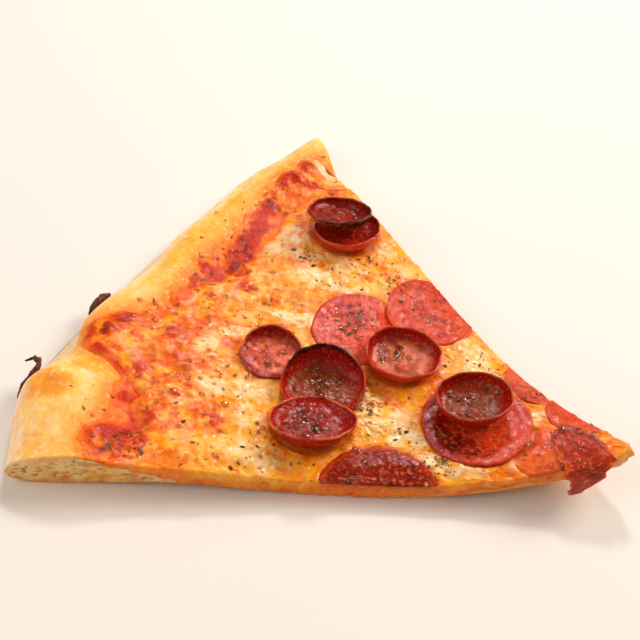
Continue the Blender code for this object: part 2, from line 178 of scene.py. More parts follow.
def cells(x: Array, y: Array, size: float, seed: int) -> tuple[Array, Array]:
    """Distance to the nearest of scattered points.

    Args:
        x: Places along X, in mm.
        y: Places along Y, in mm.
        size: Mean distance between the points, in mm.
        seed: Which scatter.

    Returns:
        The distance as a share of size, and a number from 0 to 1 that belongs to the nearest point.
    """
    at_x, at_y = x / size, y / size
    base_x, base_y = np.floor(at_x).astype(np.int64), np.floor(at_y).astype(np.int64)
    nearest = np.full(np.shape(at_x), 9.0)
    owner = np.zeros(np.shape(at_x))
    for step_x, step_y in product((-1, 0, 1), repeat=2):
        corner = np.stack([base_x + step_x, base_y + step_y, np.zeros_like(base_x)], -1)
        number = lattice(corner, seed)
        point_x = base_x + step_x + (number & 1023) / 1023
        point_y = base_y + step_y + ((number >> 10) & 1023) / 1023
        distance = np.hypot(at_x - point_x, at_y - point_y)
        closer = distance < nearest
        nearest = np.where(closer, distance, nearest)
        owner = np.where(closer, ((number >> 20) & 1023) / 1023, owner)
    return nearest, owner


def turned(x: Array, y: Array, middle: Span, degrees: float) -> tuple[Array, Array]:
    """Places along and across an axis through a middle point.

    Args:
        x: Places along X.
        y: Places along Y.
        middle: The middle point.
        degrees: Direction of the axis.

    Returns:
        Distance along the axis and distance across it.
    """
    turn = math.radians(degrees)
    east, north = x - middle[0], y - middle[1]
    return east * math.cos(turn) + north * math.sin(turn), north * math.cos(turn) - east * math.sin(turn)


# ---- the slice's form


@dataclass(frozen=True)
class SliceForm:
    """The sizes and heights that the layers share. They repeat those of the CAD source, in mm."""

    half_angle: float = 29.6
    tip_radius: float = 3.0
    tip_rounding: float = 0.7
    base_thickness: float = 3.7
    base_thickness_at_rim: float = 5.6
    rim_foot_radius: float = 165.0
    gap: float = 0.35
    curl_start: float = 82.0
    tip_lift: float = 16.0
    tip_sway: float = 9.5
    arch_height: float = 3.2
    arch_start: float = 100.0
    arch_length: float = 98.0
    rim_radius: Pairs = (
        (-30, 205), (-20.5, 209), (-14, 199), (-10.5, 202), (0, 196.2), (9, 199.6), (23, 207.6), (30, 212),
    )
    rim_height: Pairs = ((-30, 14.5), (-21, 18.5), (-14, 12), (-8, 13.5), (4, 11.5), (20, 11), (30, 12.5))
    rim_band: Pairs = ((-30, 50), (-20, 44), (-13, 28), (-7, 30), (5, 27), (18, 26), (30, 26))
    crest_share: float = 0.4
    rim_edge_height: float = 5.0
    underside_share: float = 0.22
    rim_flare: float = 4.5
    rim_flare_start: float = 186.0
    rim_flare_length: float = 24.0
    rim_flare_fall: int = 6
    sauce_edge: Pairs = (
        (-30, 178), (-27, 181), (-21, 177), (-17.2, 177), (-13.6, 196), (-11.2, 197), (-9.0, 189),
        (-5.5, 179), (0, 178), (5, 181.5), (10, 181), (15, 185), (23, 196), (27.5, 198), (30, 186),
    )
    cheese_edge: Pairs = (
        (-30, 172), (-24, 166), (-19, 170), (-17.0, 174), (-13.2, 192), (-10.8, 191), (-6, 176), (0, 175),
        (4, 170), (10, 168), (15, 172), (20, 178), (25, 186), (30, 180),
    )
    sauce_thickness: float = 0.9
    cheese_thickness: float = 2.4
    cheese_edge_thickness: float = 1.1
    cheese_edge_run: float = 12.0
    cheese_cut_run: float = 7.0
    cheese_unevenness: float = 0.7
    cheese_lump_size: float = 42.0

    @property
    def offset(self) -> Array:
        """X and Y that move the plan onto the CAD frame, read from the dough's box."""
        low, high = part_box("dough")
        corner = self.plan(smooth_between(self.rim_radius, -self.half_angle), -self.half_angle)
        return np.array([high.x / MM + self.tip_radius, low.y / MM - corner[1]])

    def curl(self, radius: Array) -> Array:
        """Share of the tip's curl: 0 on the flat part and 1 at the pie's centre."""
        return np.maximum(0.0, (self.curl_start - radius) / self.curl_start) ** 2

    def plan(self, radius: Array, angle: Array) -> tuple[Array, Array]:
        """X and Y of a place on the slice."""
        turn = np.radians(angle)
        along_rim = np.clip((radius - self.rim_flare_start) / self.rim_flare_length, 0, 1)
        flare = self.rim_flare * along_rim * np.maximum(0.0, angle / self.half_angle) ** self.rim_flare_fall
        sway = self.tip_sway * self.curl(radius)
        return -radius * np.cos(turn), radius * np.sin(turn) + sway + flare

    def place_of(self, x: Array, y: Array) -> tuple[Array, Array]:
        """Radius and angle of a place in plan; the angle isn't held between the cuts."""
        radius = np.hypot(x, y)
        for _ in range(4):
            straight = y - self.tip_sway * self.curl(radius)
            radius = np.hypot(x, straight)
        return radius, np.degrees(np.arctan2(straight, -x))

    def underside(self, radius: Array, angle: Array) -> Array:
        """Height of the slice's underside, away from the rounding at the rim."""
        along = np.clip((radius - self.arch_start) / self.arch_length, 0, 1)
        near = np.maximum(0.0, -angle / self.half_angle)
        return self.tip_lift * self.curl(radius) + self.arch_height * near * np.sin(np.pi * along) ** 2

    def rim_share(self, radius: Array, angle: Array) -> Array:
        """0 at the rim's outer edge, 1 where it meets the flat base."""
        return (smooth_between(self.rim_radius, angle) - radius) / smooth_between(self.rim_band, angle)

    def dough_bottom(self, radius: Array, angle: Array) -> Array:
        """Height of the dough's underside, which turns up at the rim."""
        turn = np.clip(1 - self.rim_share(radius, angle) / self.underside_share, 0, 1)
        rise = (self.rim_edge_height - self.gap) * (1 - np.sqrt(1 - turn * turn))
        return self.underside(radius, angle) + rise

    def dough_top(self, radius: Array, angle: Array) -> Array:
        """Height of the dough's top: a thin base, then the rim with its crest and rounded edge."""
        inward = np.minimum(1.0, radius / self.rim_foot_radius)
        base = self.base_thickness + (self.base_thickness_at_rim - self.base_thickness) * inward**3
        crest = smooth_between(self.rim_height, angle)
        share = self.rim_share(radius, angle)
        fall = np.clip((share - self.crest_share) / (1 - self.crest_share), 0, 1)
        slope = base + (crest - base) * (0.5 + 0.5 * np.cos(np.pi * fall))
        turn = np.clip(1 - share / self.crest_share, 0, 1)
        edge = self.rim_edge_height + (crest - self.rim_edge_height) * np.sqrt(1 - turn * turn)
        return self.underside(radius, angle) + np.where(share > self.crest_share, slope, edge)

    def cheese_bottom(self, radius: Array, angle: Array) -> Array:
        """Height of the cheese's underside, just clear of the sauce."""
        return self.dough_top(radius, angle) + 2 * self.gap + self.sauce_thickness

    def cheese_top(self, radius: Array, angle: Array) -> Array:
        """Height of the cheese's top before its lumps are added."""
        inside = (smooth_between(self.cheese_edge, angle) - radius) / self.cheese_edge_run
        to_cut = np.radians(np.maximum(0.0, self.half_angle - np.abs(angle)))
        from_cut = radius * np.sin(to_cut) / self.cheese_cut_run
        cover = np.clip(np.minimum(inside, from_cut), 0, 1)
        rise = self.cheese_thickness + self.cheese_lump(radius, angle) - self.cheese_edge_thickness
        return self.cheese_bottom(radius, angle) + self.cheese_edge_thickness + rise * cover

    def cheese_lump(self, radius: Array, angle: Array) -> Array:
        """Broad unevenness of the cheese, in mm."""
        x, y = self.plan(radius, angle)
        size = self.cheese_lump_size
        lumps = [noise.noise(Vector((u / size, v / size, 0.5))) for u, v in zip(np.ravel(x), np.ravel(y))]
        return self.cheese_unevenness * np.array(lumps).reshape(np.shape(x))


# ---- meshes


def mesh_object(
    name: str, points: Array, faces: list, tint: Array, offset: Array, material: bpy.types.Material
) -> Piece:
    """Make a mesh object from points in the plan's millimetres.

    Args:
        name: The piece's name.
        points: One row of X, Y and Z for each vertex, in mm.
        faces: Each face's vertex numbers.
        tint: One linear RGB row for each vertex.
        offset: X and Y that move the plan onto the CAD frame, in mm.
        material: The piece's material.

    Returns:
        The new object, in the scene.
    """
    moved = (points + np.array([offset[0], offset[1], 0.0])) * MM
    mesh = bpy.data.meshes.new(name)
    mesh.from_pydata(moved.tolist(), [], faces)
    mesh.validate()
    colours = np.concatenate([np.clip(tint, 0, 1), np.ones((len(tint), 1))], 1).astype(np.float32)
    mesh.color_attributes.new("tint", "FLOAT_COLOR", "POINT").data.foreach_set("color", colours.ravel())
    mesh.shade_smooth()
    mesh.materials.append(material)
    piece = bpy.data.objects.new(name, mesh)
    bpy.context.scene.collection.objects.link(piece)
    return piece


def loft_faces(rows: int, columns: int, split: int) -> list:
    """Faces of a tube of closed loops, with a strip of triangles across each end loop.

    Args:
        rows: How many loops there are.
        columns: How many vertices each loop has.
        split: Where a loop turns back, from its way out to its way home.

    Returns:
        The faces' vertex numbers.
    """
    first = np.arange(rows - 1)[:, None] * columns
    here = np.arange(columns)[None, :]
    after = (here + 1) % columns
    quads = np.stack([first + here, first + columns + here, first + columns + after, first + after], -1)
    faces = quads.reshape(-1, 4).tolist()
    for start, flip in ((0, False), ((rows - 1) * columns, True)):
        out, home = list(range(split)), list(range(columns - 1, split - 1, -1))
        i = j = 0
        while i < len(out) - 1 or j < len(home) - 1:
            if j == len(home) - 1 or (i < len(out) - 1 and (i + 1) / len(out) <= (j + 1) / len(home)):
                corner, i = [out[i], out[i + 1], home[j]], i + 1
            else:
                corner, j = [out[i], home[j + 1], home[j]], j + 1
            corner = [start + number for number in corner]
            faces.append(corner[::-1] if flip else corner)
    return faces


def lofted(
    name: str, loops: Array, tint: Array, split: int, offset: Array, material: bpy.types.Material
) -> Piece:
    """Make a piece from closed loops of points.

    Args:
        name: The piece's name.
        loops: Points as (loops, points round each, 3), in mm.
        tint: Linear RGB for each of them.
        split: Where a loop turns back, from its way out to its way home.
        offset: X and Y that move the plan onto the CAD frame, in mm.
        material: The piece's material.

    Returns:
        The new object, in the scene.
    """
    faces = loft_faces(loops.shape[0], loops.shape[1], split)
    return mesh_object(name, loops.reshape(-1, 3), faces, tint.reshape(-1, 3), offset, material)


def way_round(top: int, side: int, bottom: int) -> tuple[Array, Array]:
    """Go once round a layer's section, over the top towards the near cut and back underneath.

    Args:
        top: How many columns go over the top.
        side: How many go down each cut.
        bottom: How many go back underneath.

    Returns:
        For each column, its share of the half angle and its share of the layer's depth.
    """
    down = np.linspace(0, 1, side + 2)[1:-1]
    sweep = [np.linspace(1, -1, top), np.full(side, -1.0), np.linspace(-1, 1, bottom), np.full(side, 1.0)]
    depth = [np.zeros(top), down, np.ones(bottom), down[::-1]]
    return np.concatenate(sweep)[None, :], np.concatenate(depth)[None, :]


def disc_faces(rings: int, around: int) -> list:
    """Faces of a closed shell of rings between two middle points, which are its last two vertices."""
    first = np.arange(rings - 1)[:, None] * around
    here = np.arange(around)[None, :]
    after = (here + 1) % around
    quads = np.stack([first + here, first + around + here, first + around + after, first + after], -1)
    top, bottom, last = rings * around, rings * around + 1, (rings - 1) * around
    spokes = [[top, i, (i + 1) % around] for i in range(around)]
    spokes += [[bottom, last + (i + 1) % around, last + i] for i in range(around)]
    return quads.reshape(-1, 4).tolist() + spokes


def scattered(points: Array, faces: Array, places: Array) -> tuple[Array, list]:
    """Copy one small shape to many places.

    Args:
        points: The shape's points for each copy, as (copies, points, 3).
        faces: The shape's triangles.
        places: The middle of each copy.

    Returns:
        All the points as rows, and all the faces.
    """
    moved = (points + places[:, None, :]).reshape(-1, 3)
    steps = np.arange(len(places))[:, None, None] * points.shape[1]
    return moved, (faces[None] + steps).reshape(-1, faces.shape[1]).tolist()


# ---- finishes


def add_node(
    tree: Tree, kind: str, settings: dict | None = None, links: dict | None = None
) -> bpy.types.Node:
    """Add a node with its settings and links.

    Args:
        tree: The material's node tree.
        kind: The shader node's type.
        settings: Values by input name or number, or by property name.
        links: Sockets to link from, by the name or number of the input.

    Returns:
        The node.
    """
    node = tree.nodes.new("ShaderNode" + kind)
    for key, value in (settings or {}).items():
        if isinstance(key, int) or key in node.inputs:
            node.inputs[key].default_value = value
        else:
            setattr(node, key, value)
    for key, source in (links or {}).items():
        tree.links.new(source, node.inputs[key])
    return node


def empty_material(name: str) -> bpy.types.Material:
    """Make a material whose node tree is still empty."""
    material = bpy.data.materials.new(name)
    material.use_nodes = True
    material.node_tree.nodes.clear()
    return material


def noise_of(tree: Tree, place: Socket, size: float, **settings: float) -> Socket:
    """Add noise to a tree.

    Args:
        tree: The material's node tree.
        place: The socket that gives the place.
        size: Distance from one lump to the next, in mm.
        settings: The noise's other inputs, by name.

    Returns:
        The noise's output.
    """
    inputs = {"Scale": 1 / (size * MM), **settings}
    return add_node(tree, "TexNoise", inputs, {"Vector": place}).outputs[0]


def ramp_of(tree: Tree, value: Socket, span: Span, low: float, high: float) -> Socket:
    """Map a span of a value onto low to high, and return the output."""
    inputs = {"From Min": span[0], "From Max": span[1], "To Min": low, "To Max": high}
    return add_node(tree, "MapRange", inputs, {"Value": value}).outputs[0]


def laid_over(tree: Tree, under: Socket, colour: str, share: Socket) -> Socket:
    """Lay one fixed colour over another by a share, and return the output."""
    inputs = {"data_type": "RGBA", 7: (*linear(colour), 1)}
    return add_node(tree, "Mix", inputs, {0: share, 6: under}).outputs[2]


@dataclass(frozen=True)
class Finish:
    """A moist baked surface: vertex tint, broken up by blotches and specks, under a film of oil.

    Attributes:
        name: The material's name.
        blotch: Colour that the tint drifts towards in soft blotches.
        blotch_size: Distance between blotches, in mm.
        blotch_share: How strong they are.
        speck: Colour of small specks.
        speck_size: Distance between specks, in mm.
        speck_share: How strong they are.
        bump_size: Distance between small lumps, in mm.
        bump_height: Their height, in mm.
        roughness: Roughness in the driest spots.
        wet_roughness: Roughness in the wettest spots.
        ior: Index of refraction.
        specular: How strongly the surface under the oil film reflects.
        coat: Weight of the oil film.
        coat_roughness: Its roughness.
        film: Colour that the oil film gives to what lies under it.
        film_ior: Index of refraction of the film.
        bleed: Weight of subsurface scattering.
        bleed_reach: How far light spreads under the surface, in mm.
        bleed_tones: Reach of red, green and blue light as shares of that.
        blotch_span: Part of the noise's range over which blotches fade in.
        speck_span: The same for specks.
        wet_span: The same for wetness.
    """

    name: str
    blotch: str
    blotch_size: float
    blotch_share: float
    speck: str
    speck_size: float
    speck_share: float
    bump_size: float
    bump_height: float
    roughness: float
    wet_roughness: float
    ior: float = 1.45
    specular: float = 0.5
    coat: float = 0.0
    coat_roughness: float = 0.1
    film: str = "#ffffff"
    film_ior: float = 1.42
    bleed: float = 0.0
    bleed_reach: float = 1.0
    bleed_tones: tuple[float, float, float] = (1.0, 0.45, 0.2)
    blotch_span: Span = (0.48, 0.68)
    speck_span: Span = (0.56, 0.7)
    wet_span: Span = (0.35, 0.65)

    def material(self) -> bpy.types.Material:
        """Build the finish's material."""
        material = empty_material(self.name)
        tree = material.node_tree
        place = add_node(tree, "TexCoord").outputs["Object"]
        tint = add_node(tree, "Attribute", {"attribute_name": "tint"}).outputs["Color"]
        soft = noise_of(tree, place, self.blotch_size, Detail=4.0, Roughness=0.6)
        blotches = ramp_of(tree, soft, self.blotch_span, 0.0, self.blotch_share)
        toned = laid_over(tree, tint, self.blotch, blotches)
        small = noise_of(tree, place, self.speck_size, Detail=2.0, Roughness=0.5)
        specks = ramp_of(tree, small, self.speck_span, 0.0, self.speck_share)
        speckled = laid_over(tree, toned, self.speck, specks)
        wetness = ramp_of(tree, soft, self.wet_span, self.wet_roughness, self.roughness)
        lumps = noise_of(tree, place, self.bump_size, Detail=3.0, Roughness=0.55, Distortion=0.4)
        relief = add_node(
            tree, "Bump", {"Strength": 1.0, "Distance": self.bump_height * MM}, {"Height": lumps}
        ).outputs[0]
        reach = [self.bleed_reach * MM * share for share in self.bleed_tones]
        shader = add_node(
            tree, "BsdfPrincipled",
            {
                "IOR": self.ior, "Specular IOR Level": self.specular,
                "Coat Weight": self.coat, "Coat Roughness": self.coat_roughness,
                "Coat Tint": (*linear(self.film), 1), "Coat IOR": self.film_ior,
                "Subsurface Weight": self.bleed, "Subsurface Radius": reach,
                "Subsurface Scale": 1.0,
            },
            {"Base Color": speckled, "Roughness": wetness, "Normal": relief, "Coat Normal": relief},
        )
        add_node(tree, "OutputMaterial", None, {"Surface": shader.outputs[0]})
        return material


# Wheat dough, baked in an oven: matt and dry, with a fine floury grain and toasted freckles.
BAKED_DOUGH = Finish(
    name="oven_baked_wheat_dough", blotch="#f2992a", blotch_size=6.0, blotch_share=0.34,
    speck="#fff0d0", speck_size=1.9, speck_share=0.3, bump_size=1.3, bump_height=0.2,
    roughness=0.65, wet_roughness=0.45, ior=1.45, specular=0.3, bleed=0.15, bleed_reach=2.0,
)
# Crushed tomato, cooked down in the oven: wet pulp, so it is glossy, grainy and deep in colour.
TOMATO_SAUCE = Finish(
    name="cooked_crushed_tomato", blotch="#a92406", blotch_size=3.4, blotch_share=0.4,
    speck="#f07a2c", speck_size=1.3, speck_share=0.3, bump_size=1.5, bump_height=0.4,
    roughness=0.4, wet_roughness=0.2, ior=1.4, specular=0.08, coat=0.35, coat_roughness=0.05,
    film="#ffb470", bleed=0.1, bleed_reach=1.2,
)
# Low-moisture mozzarella, melted and blistered: milky and oily, with many small bright glints.
MELTED_MOZZARELLA = Finish(
    name="melted_mozzarella", blotch="#f2780c", blotch_size=2.8, blotch_share=0.34,
    speck="#ffe0a0", speck_size=1.3, speck_share=0.25, bump_size=1.3, bump_height=0.26,
    roughness=0.42, wet_roughness=0.22, ior=1.44, specular=0.12, coat=0.6, coat_roughness=0.04,
    film="#ffdca8", bleed=0.22, bleed_reach=1.8,
)
# Cured beef and pork sausage, sliced and fried in its own fat: red, with pale fat grains, and wet.
FRIED_PEPPERONI = Finish(
    name="fried_cured_sausage", blotch="#861404", blotch_size=2.4, blotch_share=0.5,
    speck="#f08a58", speck_size=1.0, speck_share=0.4, bump_size=1.4, bump_height=0.3,
    roughness=0.36, wet_roughness=0.16, ior=1.46, specular=0.05, coat=0.5, coat_roughness=0.04,
    film="#ffa35c", bleed=0.08, bleed_reach=1.0,
)
# Crust burnt through to charcoal: brown-black, brittle and dull.
CHARRED_CRUST = Finish(
    name="charred_crust", blotch="#7a4326", blotch_size=2.0, blotch_share=0.5,
    speck="#1b100c", speck_size=0.8, speck_share=0.6, bump_size=0.8, bump_height=0.3,
    roughness=0.85, wet_roughness=0.6, ior=1.5,
)
# Dried oregano leaf, rubbed and baked: small olive to brown chips with a dull surface.
DRIED_OREGANO = Finish(
    name="dried_oregano_leaf", blotch="#8a5c2c", blotch_size=1.5, blotch_share=0.4,
    speck="#4a3218", speck_size=0.5, speck_share=0.25, bump_size=0.5, bump_height=0.1,
    roughness=0.75, wet_roughness=0.5, ior=1.45, specular=0.1,
)


@dataclass(frozen=True)
class RenderedFat:
    """Fat rendered out of the sausage: a clear orange liquid that shows what it lies on.

    Attributes:
        name: The material's name.
        colour: Colour that the fat gives to what is seen through it.
        ior: Index of refraction of oil.
        roughness: A liquid's surface is almost perfectly smooth.
    """

    name: str = "rendered_pepperoni_fat"
    colour: str = "#ffdcae"
    ior: float = 1.46
    roughness: float = 0.03

    def material(self) -> bpy.types.Material:
        """Build the fat's material."""
        material = empty_material(self.name)
        tree = material.node_tree
        shader = add_node(
            tree, "BsdfPrincipled",
            {
                "Base Color": (*linear(self.colour), 1), "Roughness": self.roughness, "IOR": self.ior,
                "Transmission Weight": 1.0,
            },
        )
        add_node(tree, "OutputMaterial", None, {"Surface": shader.outputs[0]})
        return material


# ---- colours of the toppings


class Tone(str, Enum):
    """Names of the colours that the baked cheese and sauce show."""

    GOLD = "#ffb812"
    CREAM = "#ffd684"
    PALE = "#fff0cc"
    ORANGE = "#ee6a12"
    TOASTED = "#dc5c22"
    RED = "#cc3806"
    DEEP_RED = "#a02004"
    CHAR = "#341a0e"


@dataclass(frozen=True)
class Patch:
    """A soft-edged oval of one tone: place, half length, half width, turn in degrees, strength."""

    x: float
    y: float
    length: float
    width: float
    turn: float = 0.0
    strength: float = 1.0
    soft_edge: Span = (0.55, 1.25)

    def cover(self, x: Array, y: Array) -> Array:
        """How far the patch covers each place, from 0 to its strength."""
        along, across = turned(x, y, (self.x, self.y), self.turn)
        distance = np.hypot(along / self.length, across / self.width)
        return self.strength * (1 - ease(distance, *self.soft_edge))


def patches(rows: tuple) -> tuple[Patch, ...]:
    """Patches from rows of their values."""
    return tuple(Patch(*row) for row in rows)


@dataclass(frozen=True)
class Blister:
    """A dome that steam raised in the cheese: place, radius, height, and how dark it toasted."""

    x: float
    y: float
    radius: float
    height: float
    toast: float


@dataclass
class ToppingLook:
    """Where the baked toppings are gold, pale, orange, red or charred, and where they blister."""

    pale: tuple[Patch, ...] = patches((
        (-158, 46, 6, 5, 20), (-160, 36, 7, 4, 60), (-137, 31, 11, 5.5, 10), (-147, 39, 9, 3.5, 20, 0.8),
        (-129, 41, 8, 7, 0, 0.7), (-124, 58, 8, 4, 0, 0.7), (-121, 32, 7, 4, 0, 0.8),
        (-134, 7, 10, 3.5, 15), (-152, -22, 5, 5, 0, 0.9), (-150, -13, 7, 3, 40, 0.7),
        (-128, -31, 9, 5, 20, 0.7), (-139, -38, 6, 4, 0, 0.9), (-122, -41, 7, 5, 0, 0.6),
        (-114, -55, 9, 4, 20, 0.7), (-105, -54, 6, 3, 20, 0.8), (-68, 29, 8, 6, -30), (-62, 22, 9, 4, -20),
        (-73, 33, 5, 4, 0, 0.6), (-80, -15, 9, 5, 20, 0.8), (-71, -20, 9, 5, 20), (-56, -23, 9, 4.5, 20),
        (-90, -12, 5, 7, 0, 0.9), (-45, -19, 6, 3, 30, 0.8), (-36, -9, 4, 5, 0, 0.7),
        (-36, 11, 3, 6, -30, 0.8), (-170, 95, 14, 5, -30, 0.9), (-178, 100, 8, 4, -60, 0.8),
        (-163, 5, 6, 3, 0, 0.5), (-146, -50, 5, 2, 20, 0.5), (-110, 53, 6, 3, -30, 0.4),
        (-83, 24, 3, 6, 0, 0.5),
    ))
    gold: tuple[Patch, ...] = patches((
        (-150, 24, 12, 8, 0), (-139, 22, 8, 5, 0), (-146, 4, 11, 9, 0, 0.9), (-160, -8, 8, 6, 0, 0.5),
        (-168, 62, 8, 8, 0, 0.5), (-165, 52, 5, 6, 0, 0.6), (-121, 44, 7, 6, 0, 0.7), (-70, 31, 6, 4),
        (-125, -35, 12, 8, 20, 0.8), (-112, -62, 20, 6, 25, 0.9), (-95, -53, 12, 5, 25, 0.9),
        (-80, -10, 10, 8, 0, 0.5), (-140, -28, 8, 6, 0, 0.6), (-12, 8, 9, 7, 0, 0.4),
        (-60, -30, 16, 4, 28, 0.6), (-133, -62, 14, 6, 25, 0.5), (-173, 75, 6, 10, 0, 0.5),
        (-165, 88, 10, 6, -20, 0.6),
    ))
    orange: tuple[Patch, ...] = patches((
        (-158, -30, 16, 26, 0, 0.85), (-140, -52, 18, 9, 10, 0.8), (-176, -14, 7, 10, 0, 0.7),
        (-168, 70, 8, 8, 0, 0.7), (-160, 62, 6, 6, 0, 0.6), (-157, 76, 8, 6, 0, 0.7),
        (-170, 50, 5, 8, 0, 0.6), (-160, 26, 6, 6, 0, 0.5), (-178, -38, 9, 7, 0, 0.8),
        (-112, 50, 6, 5, -30, 0.7), (-86, -7, 8, 5, 0, 0.8), (-73, 6, 4, 10, 0, 0.5),
        (-95, -52, 10, 4, 20, 0.35), (-120, 43, 4, 4, 0, 0.9), (-150, -66, 14, 8, 20, 0.8),
        (-30, 10, 10, 8, 0, 0.7), (-18, 9, 8, 6, 0, 0.5), (-130, -68, 16, 4, 28, 0.6),
        (-43, -12, 8, 6, 0, 0.6), (-145, 12, 6, 5, 0, 0.6), (-131, 20, 4, 9, 0, 0.3),
        (-62, -38, 24, 4, 29, 0.5), (-147, 70, 10, 8, 0, 0.6), (-100, -45, 10, 4, 20, 0.4),
        (-30, -12, 12, 3, 25, 0.8), (-12, 9, 10, 6, 0, 0.9), (-20, 2, 8, 6, 0, 0.8),
    ))
    red: tuple[Patch, ...] = patches((
        (-176, 57, 5, 6), (-177, 51, 6, 4), (-172, 44, 5, 7), (-172, 36, 6, 8), (-169, 26, 6, 8, 15),
        (-166, 18, 6, 5.5), (-173, 11, 6, 4, 0, 0.8), (-176, 3, 4, 6, -20, 0.8), (-178, 65, 2.5, 4, 0, 0.7),
        (-177, 75, 3.5, 5, -30), (-173, 79, 3, 2.5, 0, 0.9), (-175, 86, 2.5, 4.5),
        (-167, 81, 6, 1.8, 0, 0.8), (-158, 82, 5, 4, 0, 0.85), (-156, 11, 5, 3.5),
        (-138, 19, 3, 2.4, 0, 0.45), (-164, -24, 4, 6, 10, 0.65), (-165, -43, 4, 9, 0, 0.7),
        (-155, -34, 7, 3.5, 0, 0.6), (-161, -57, 7, 3, 0, 0.7), (-152, -62, 6, 5, 0, 0.75),
        (-151, -71, 8, 5, 10), (-153, -75, 10, 5, 10), (-157, -76, 4, 4, 0, 0.95),
        (-143, -73, 4, 2.5, 0, 0.7), (-131, -48, 6, 3, 0, 0.75), (-148, -56, 6, 4, 20, 0.5),
        (-177, -26, 4, 4, 0, 0.6), (-184, -31, 4, 4, 40, 0.9), (-190, -43, 5, 5, 0, 0.7),
        (-187, -53, 4, 4, 40, 0.95), (-184, -38, 3.5, 3, 0, 0.7), (-113, -63, 2.4, 1.6, 0, 0.7),
        (-149, -80, 9, 2.5, 20, 0.6), (-138, -38, 3, 3, 0, 0.3), (-170, -45, 3, 6, 0, 0.4),
        (-142, -60, 4, 3, 0, 0.5), (-167, -8, 3, 4, 0, 0.4), (-44, -16, 5, 3, 60, 0.6),
        (-160, 70, 3, 3, 0, 0.4), (-181, -48, 6, 2.4, 0, 0.95), (-171, -49, 5, 3, 0, 0.85),
        (-193, -38, 3, 4, 0, 0.8),
    ))
    char: tuple[Patch, ...] = patches((
        (-171, 6, 3.5, 2.2, 0, 0.9), (-175, 58, 2.5, 2, 0, 0.35), (-168, 20, 3, 2.5, 0, 0.45),
        (-153.5, -80, 2.2, 1.8, 0, 0.9), (-143, -73.5, 1.6, 1.3, 0, 0.6), (-156, -76, 1.6, 1.4, 0, 0.6),
        (-184, -38.5, 2.4, 2, 0, 0.5), (-172, 32, 2.5, 3, 0, 0.3), (-131, -48, 1.5, 1, 0, 0.3),
        (-160, -74, 1.2, 1, 0, 0.5), (-180, -27, 2, 1.5, 0, 0.3),
    ))
    blisters: tuple[Blister, ...] = tuple(Blister(*row) for row in (
        (-174, -7, 5.0, 1.6, 0.5), (-165, 63, 4.5, 1.4, 0.4), (-176, 57, 3.6, 1.2, 0.7),
        (-145, 12, 4.6, 1.3, 0.45), (-137, 2, 4.0, 1.1, 0.5), (-155, -35, 5.2, 1.3, 0.5),
        (-180, -26, 4.0, 1.3, 0.6), (-184, -38, 3.6, 1.3, 0.9), (-173, 31, 4.2, 1.1, 0.5),
        (-168, 19, 4.0, 1.0, 0.6), (-112, 48, 5.0, 1.3, 0.5), (-138, 19, 3.2, 1.1, 0.5),
        (-121, 43, 4.6, 1.0, 0.1), (-160, -8, 4.5, 1.2, 0.3), (-151, -47, 4.5, 1.2, 0.4),
        (-147, -62, 4.2, 1.1, 0.3), (-119, 52, 4.0, 1.1, 0.5), (-150, 30, 4.0, 0.9, 0.2),
        (-160, 33, 3.8, 1.0, 0.3), (-165, -32, 4.4, 1.2, 0.3), (-139, -49, 4.0, 1.0, 0.3),
        (-187, -47, 4.5, 1.3, 0.3), (-163, 45, 4.0, 1.2, 0.2), (-170, 72, 4.2, 1.2, 0.3),
    ))
    warp: float = 2.6
    greasy_from: Span = (112.0, 160.0)

    def warped(self, x: Array, y: Array) -> tuple[Array, Array]:
        """Places pushed about by noise, so that ovals get ragged, melted outlines."""
        return (
            x + self.warp * layered(x, y, 6.5, 11),
            y + self.warp * layered(x, y, 6.5, 21),
        )

    def cover(self, group: tuple[Patch, ...], x: Array, y: Array) -> Array:
        """How far a group of patches covers each place."""
        warped_x, warped_y = self.warped(x, y)
        total = np.zeros(np.shape(x))
        for patch in group:
            total = np.maximum(total, patch.cover(warped_x, warped_y))
        return total

    def domes(self, x: Array, y: Array) -> tuple[Array, Array]:
        """Height of the blisters, in mm, and how far each place is toasted."""
        height, toast = np.zeros(np.shape(x)), np.zeros(np.shape(x))
        for blister in self.blisters:
            distance = np.hypot(x - blister.x, y - blister.y) / blister.radius
            dome = np.clip(1 - distance**2, 0, 1) ** 0.8
            height = np.maximum(height, blister.height * dome)
            toast = np.maximum(toast, blister.toast * ease(dome, 0.2, 0.8))
        return height, toast

    def strands(self, x: Array, y: Array) -> Array:
        """Where threads of cheese were drawn out, from 0 to 1."""
        u, v = self.warped(x, y)
        first = ease(np.abs(grain(0.55 * u + 0.25 * v, v, 4.5, 71)), 0.1, 0.0)
        second = ease(np.abs(grain(u, 0.5 * v - 0.3 * u, 5.5, 72)), 0.09, 0.0)
        return np.maximum(first, second)

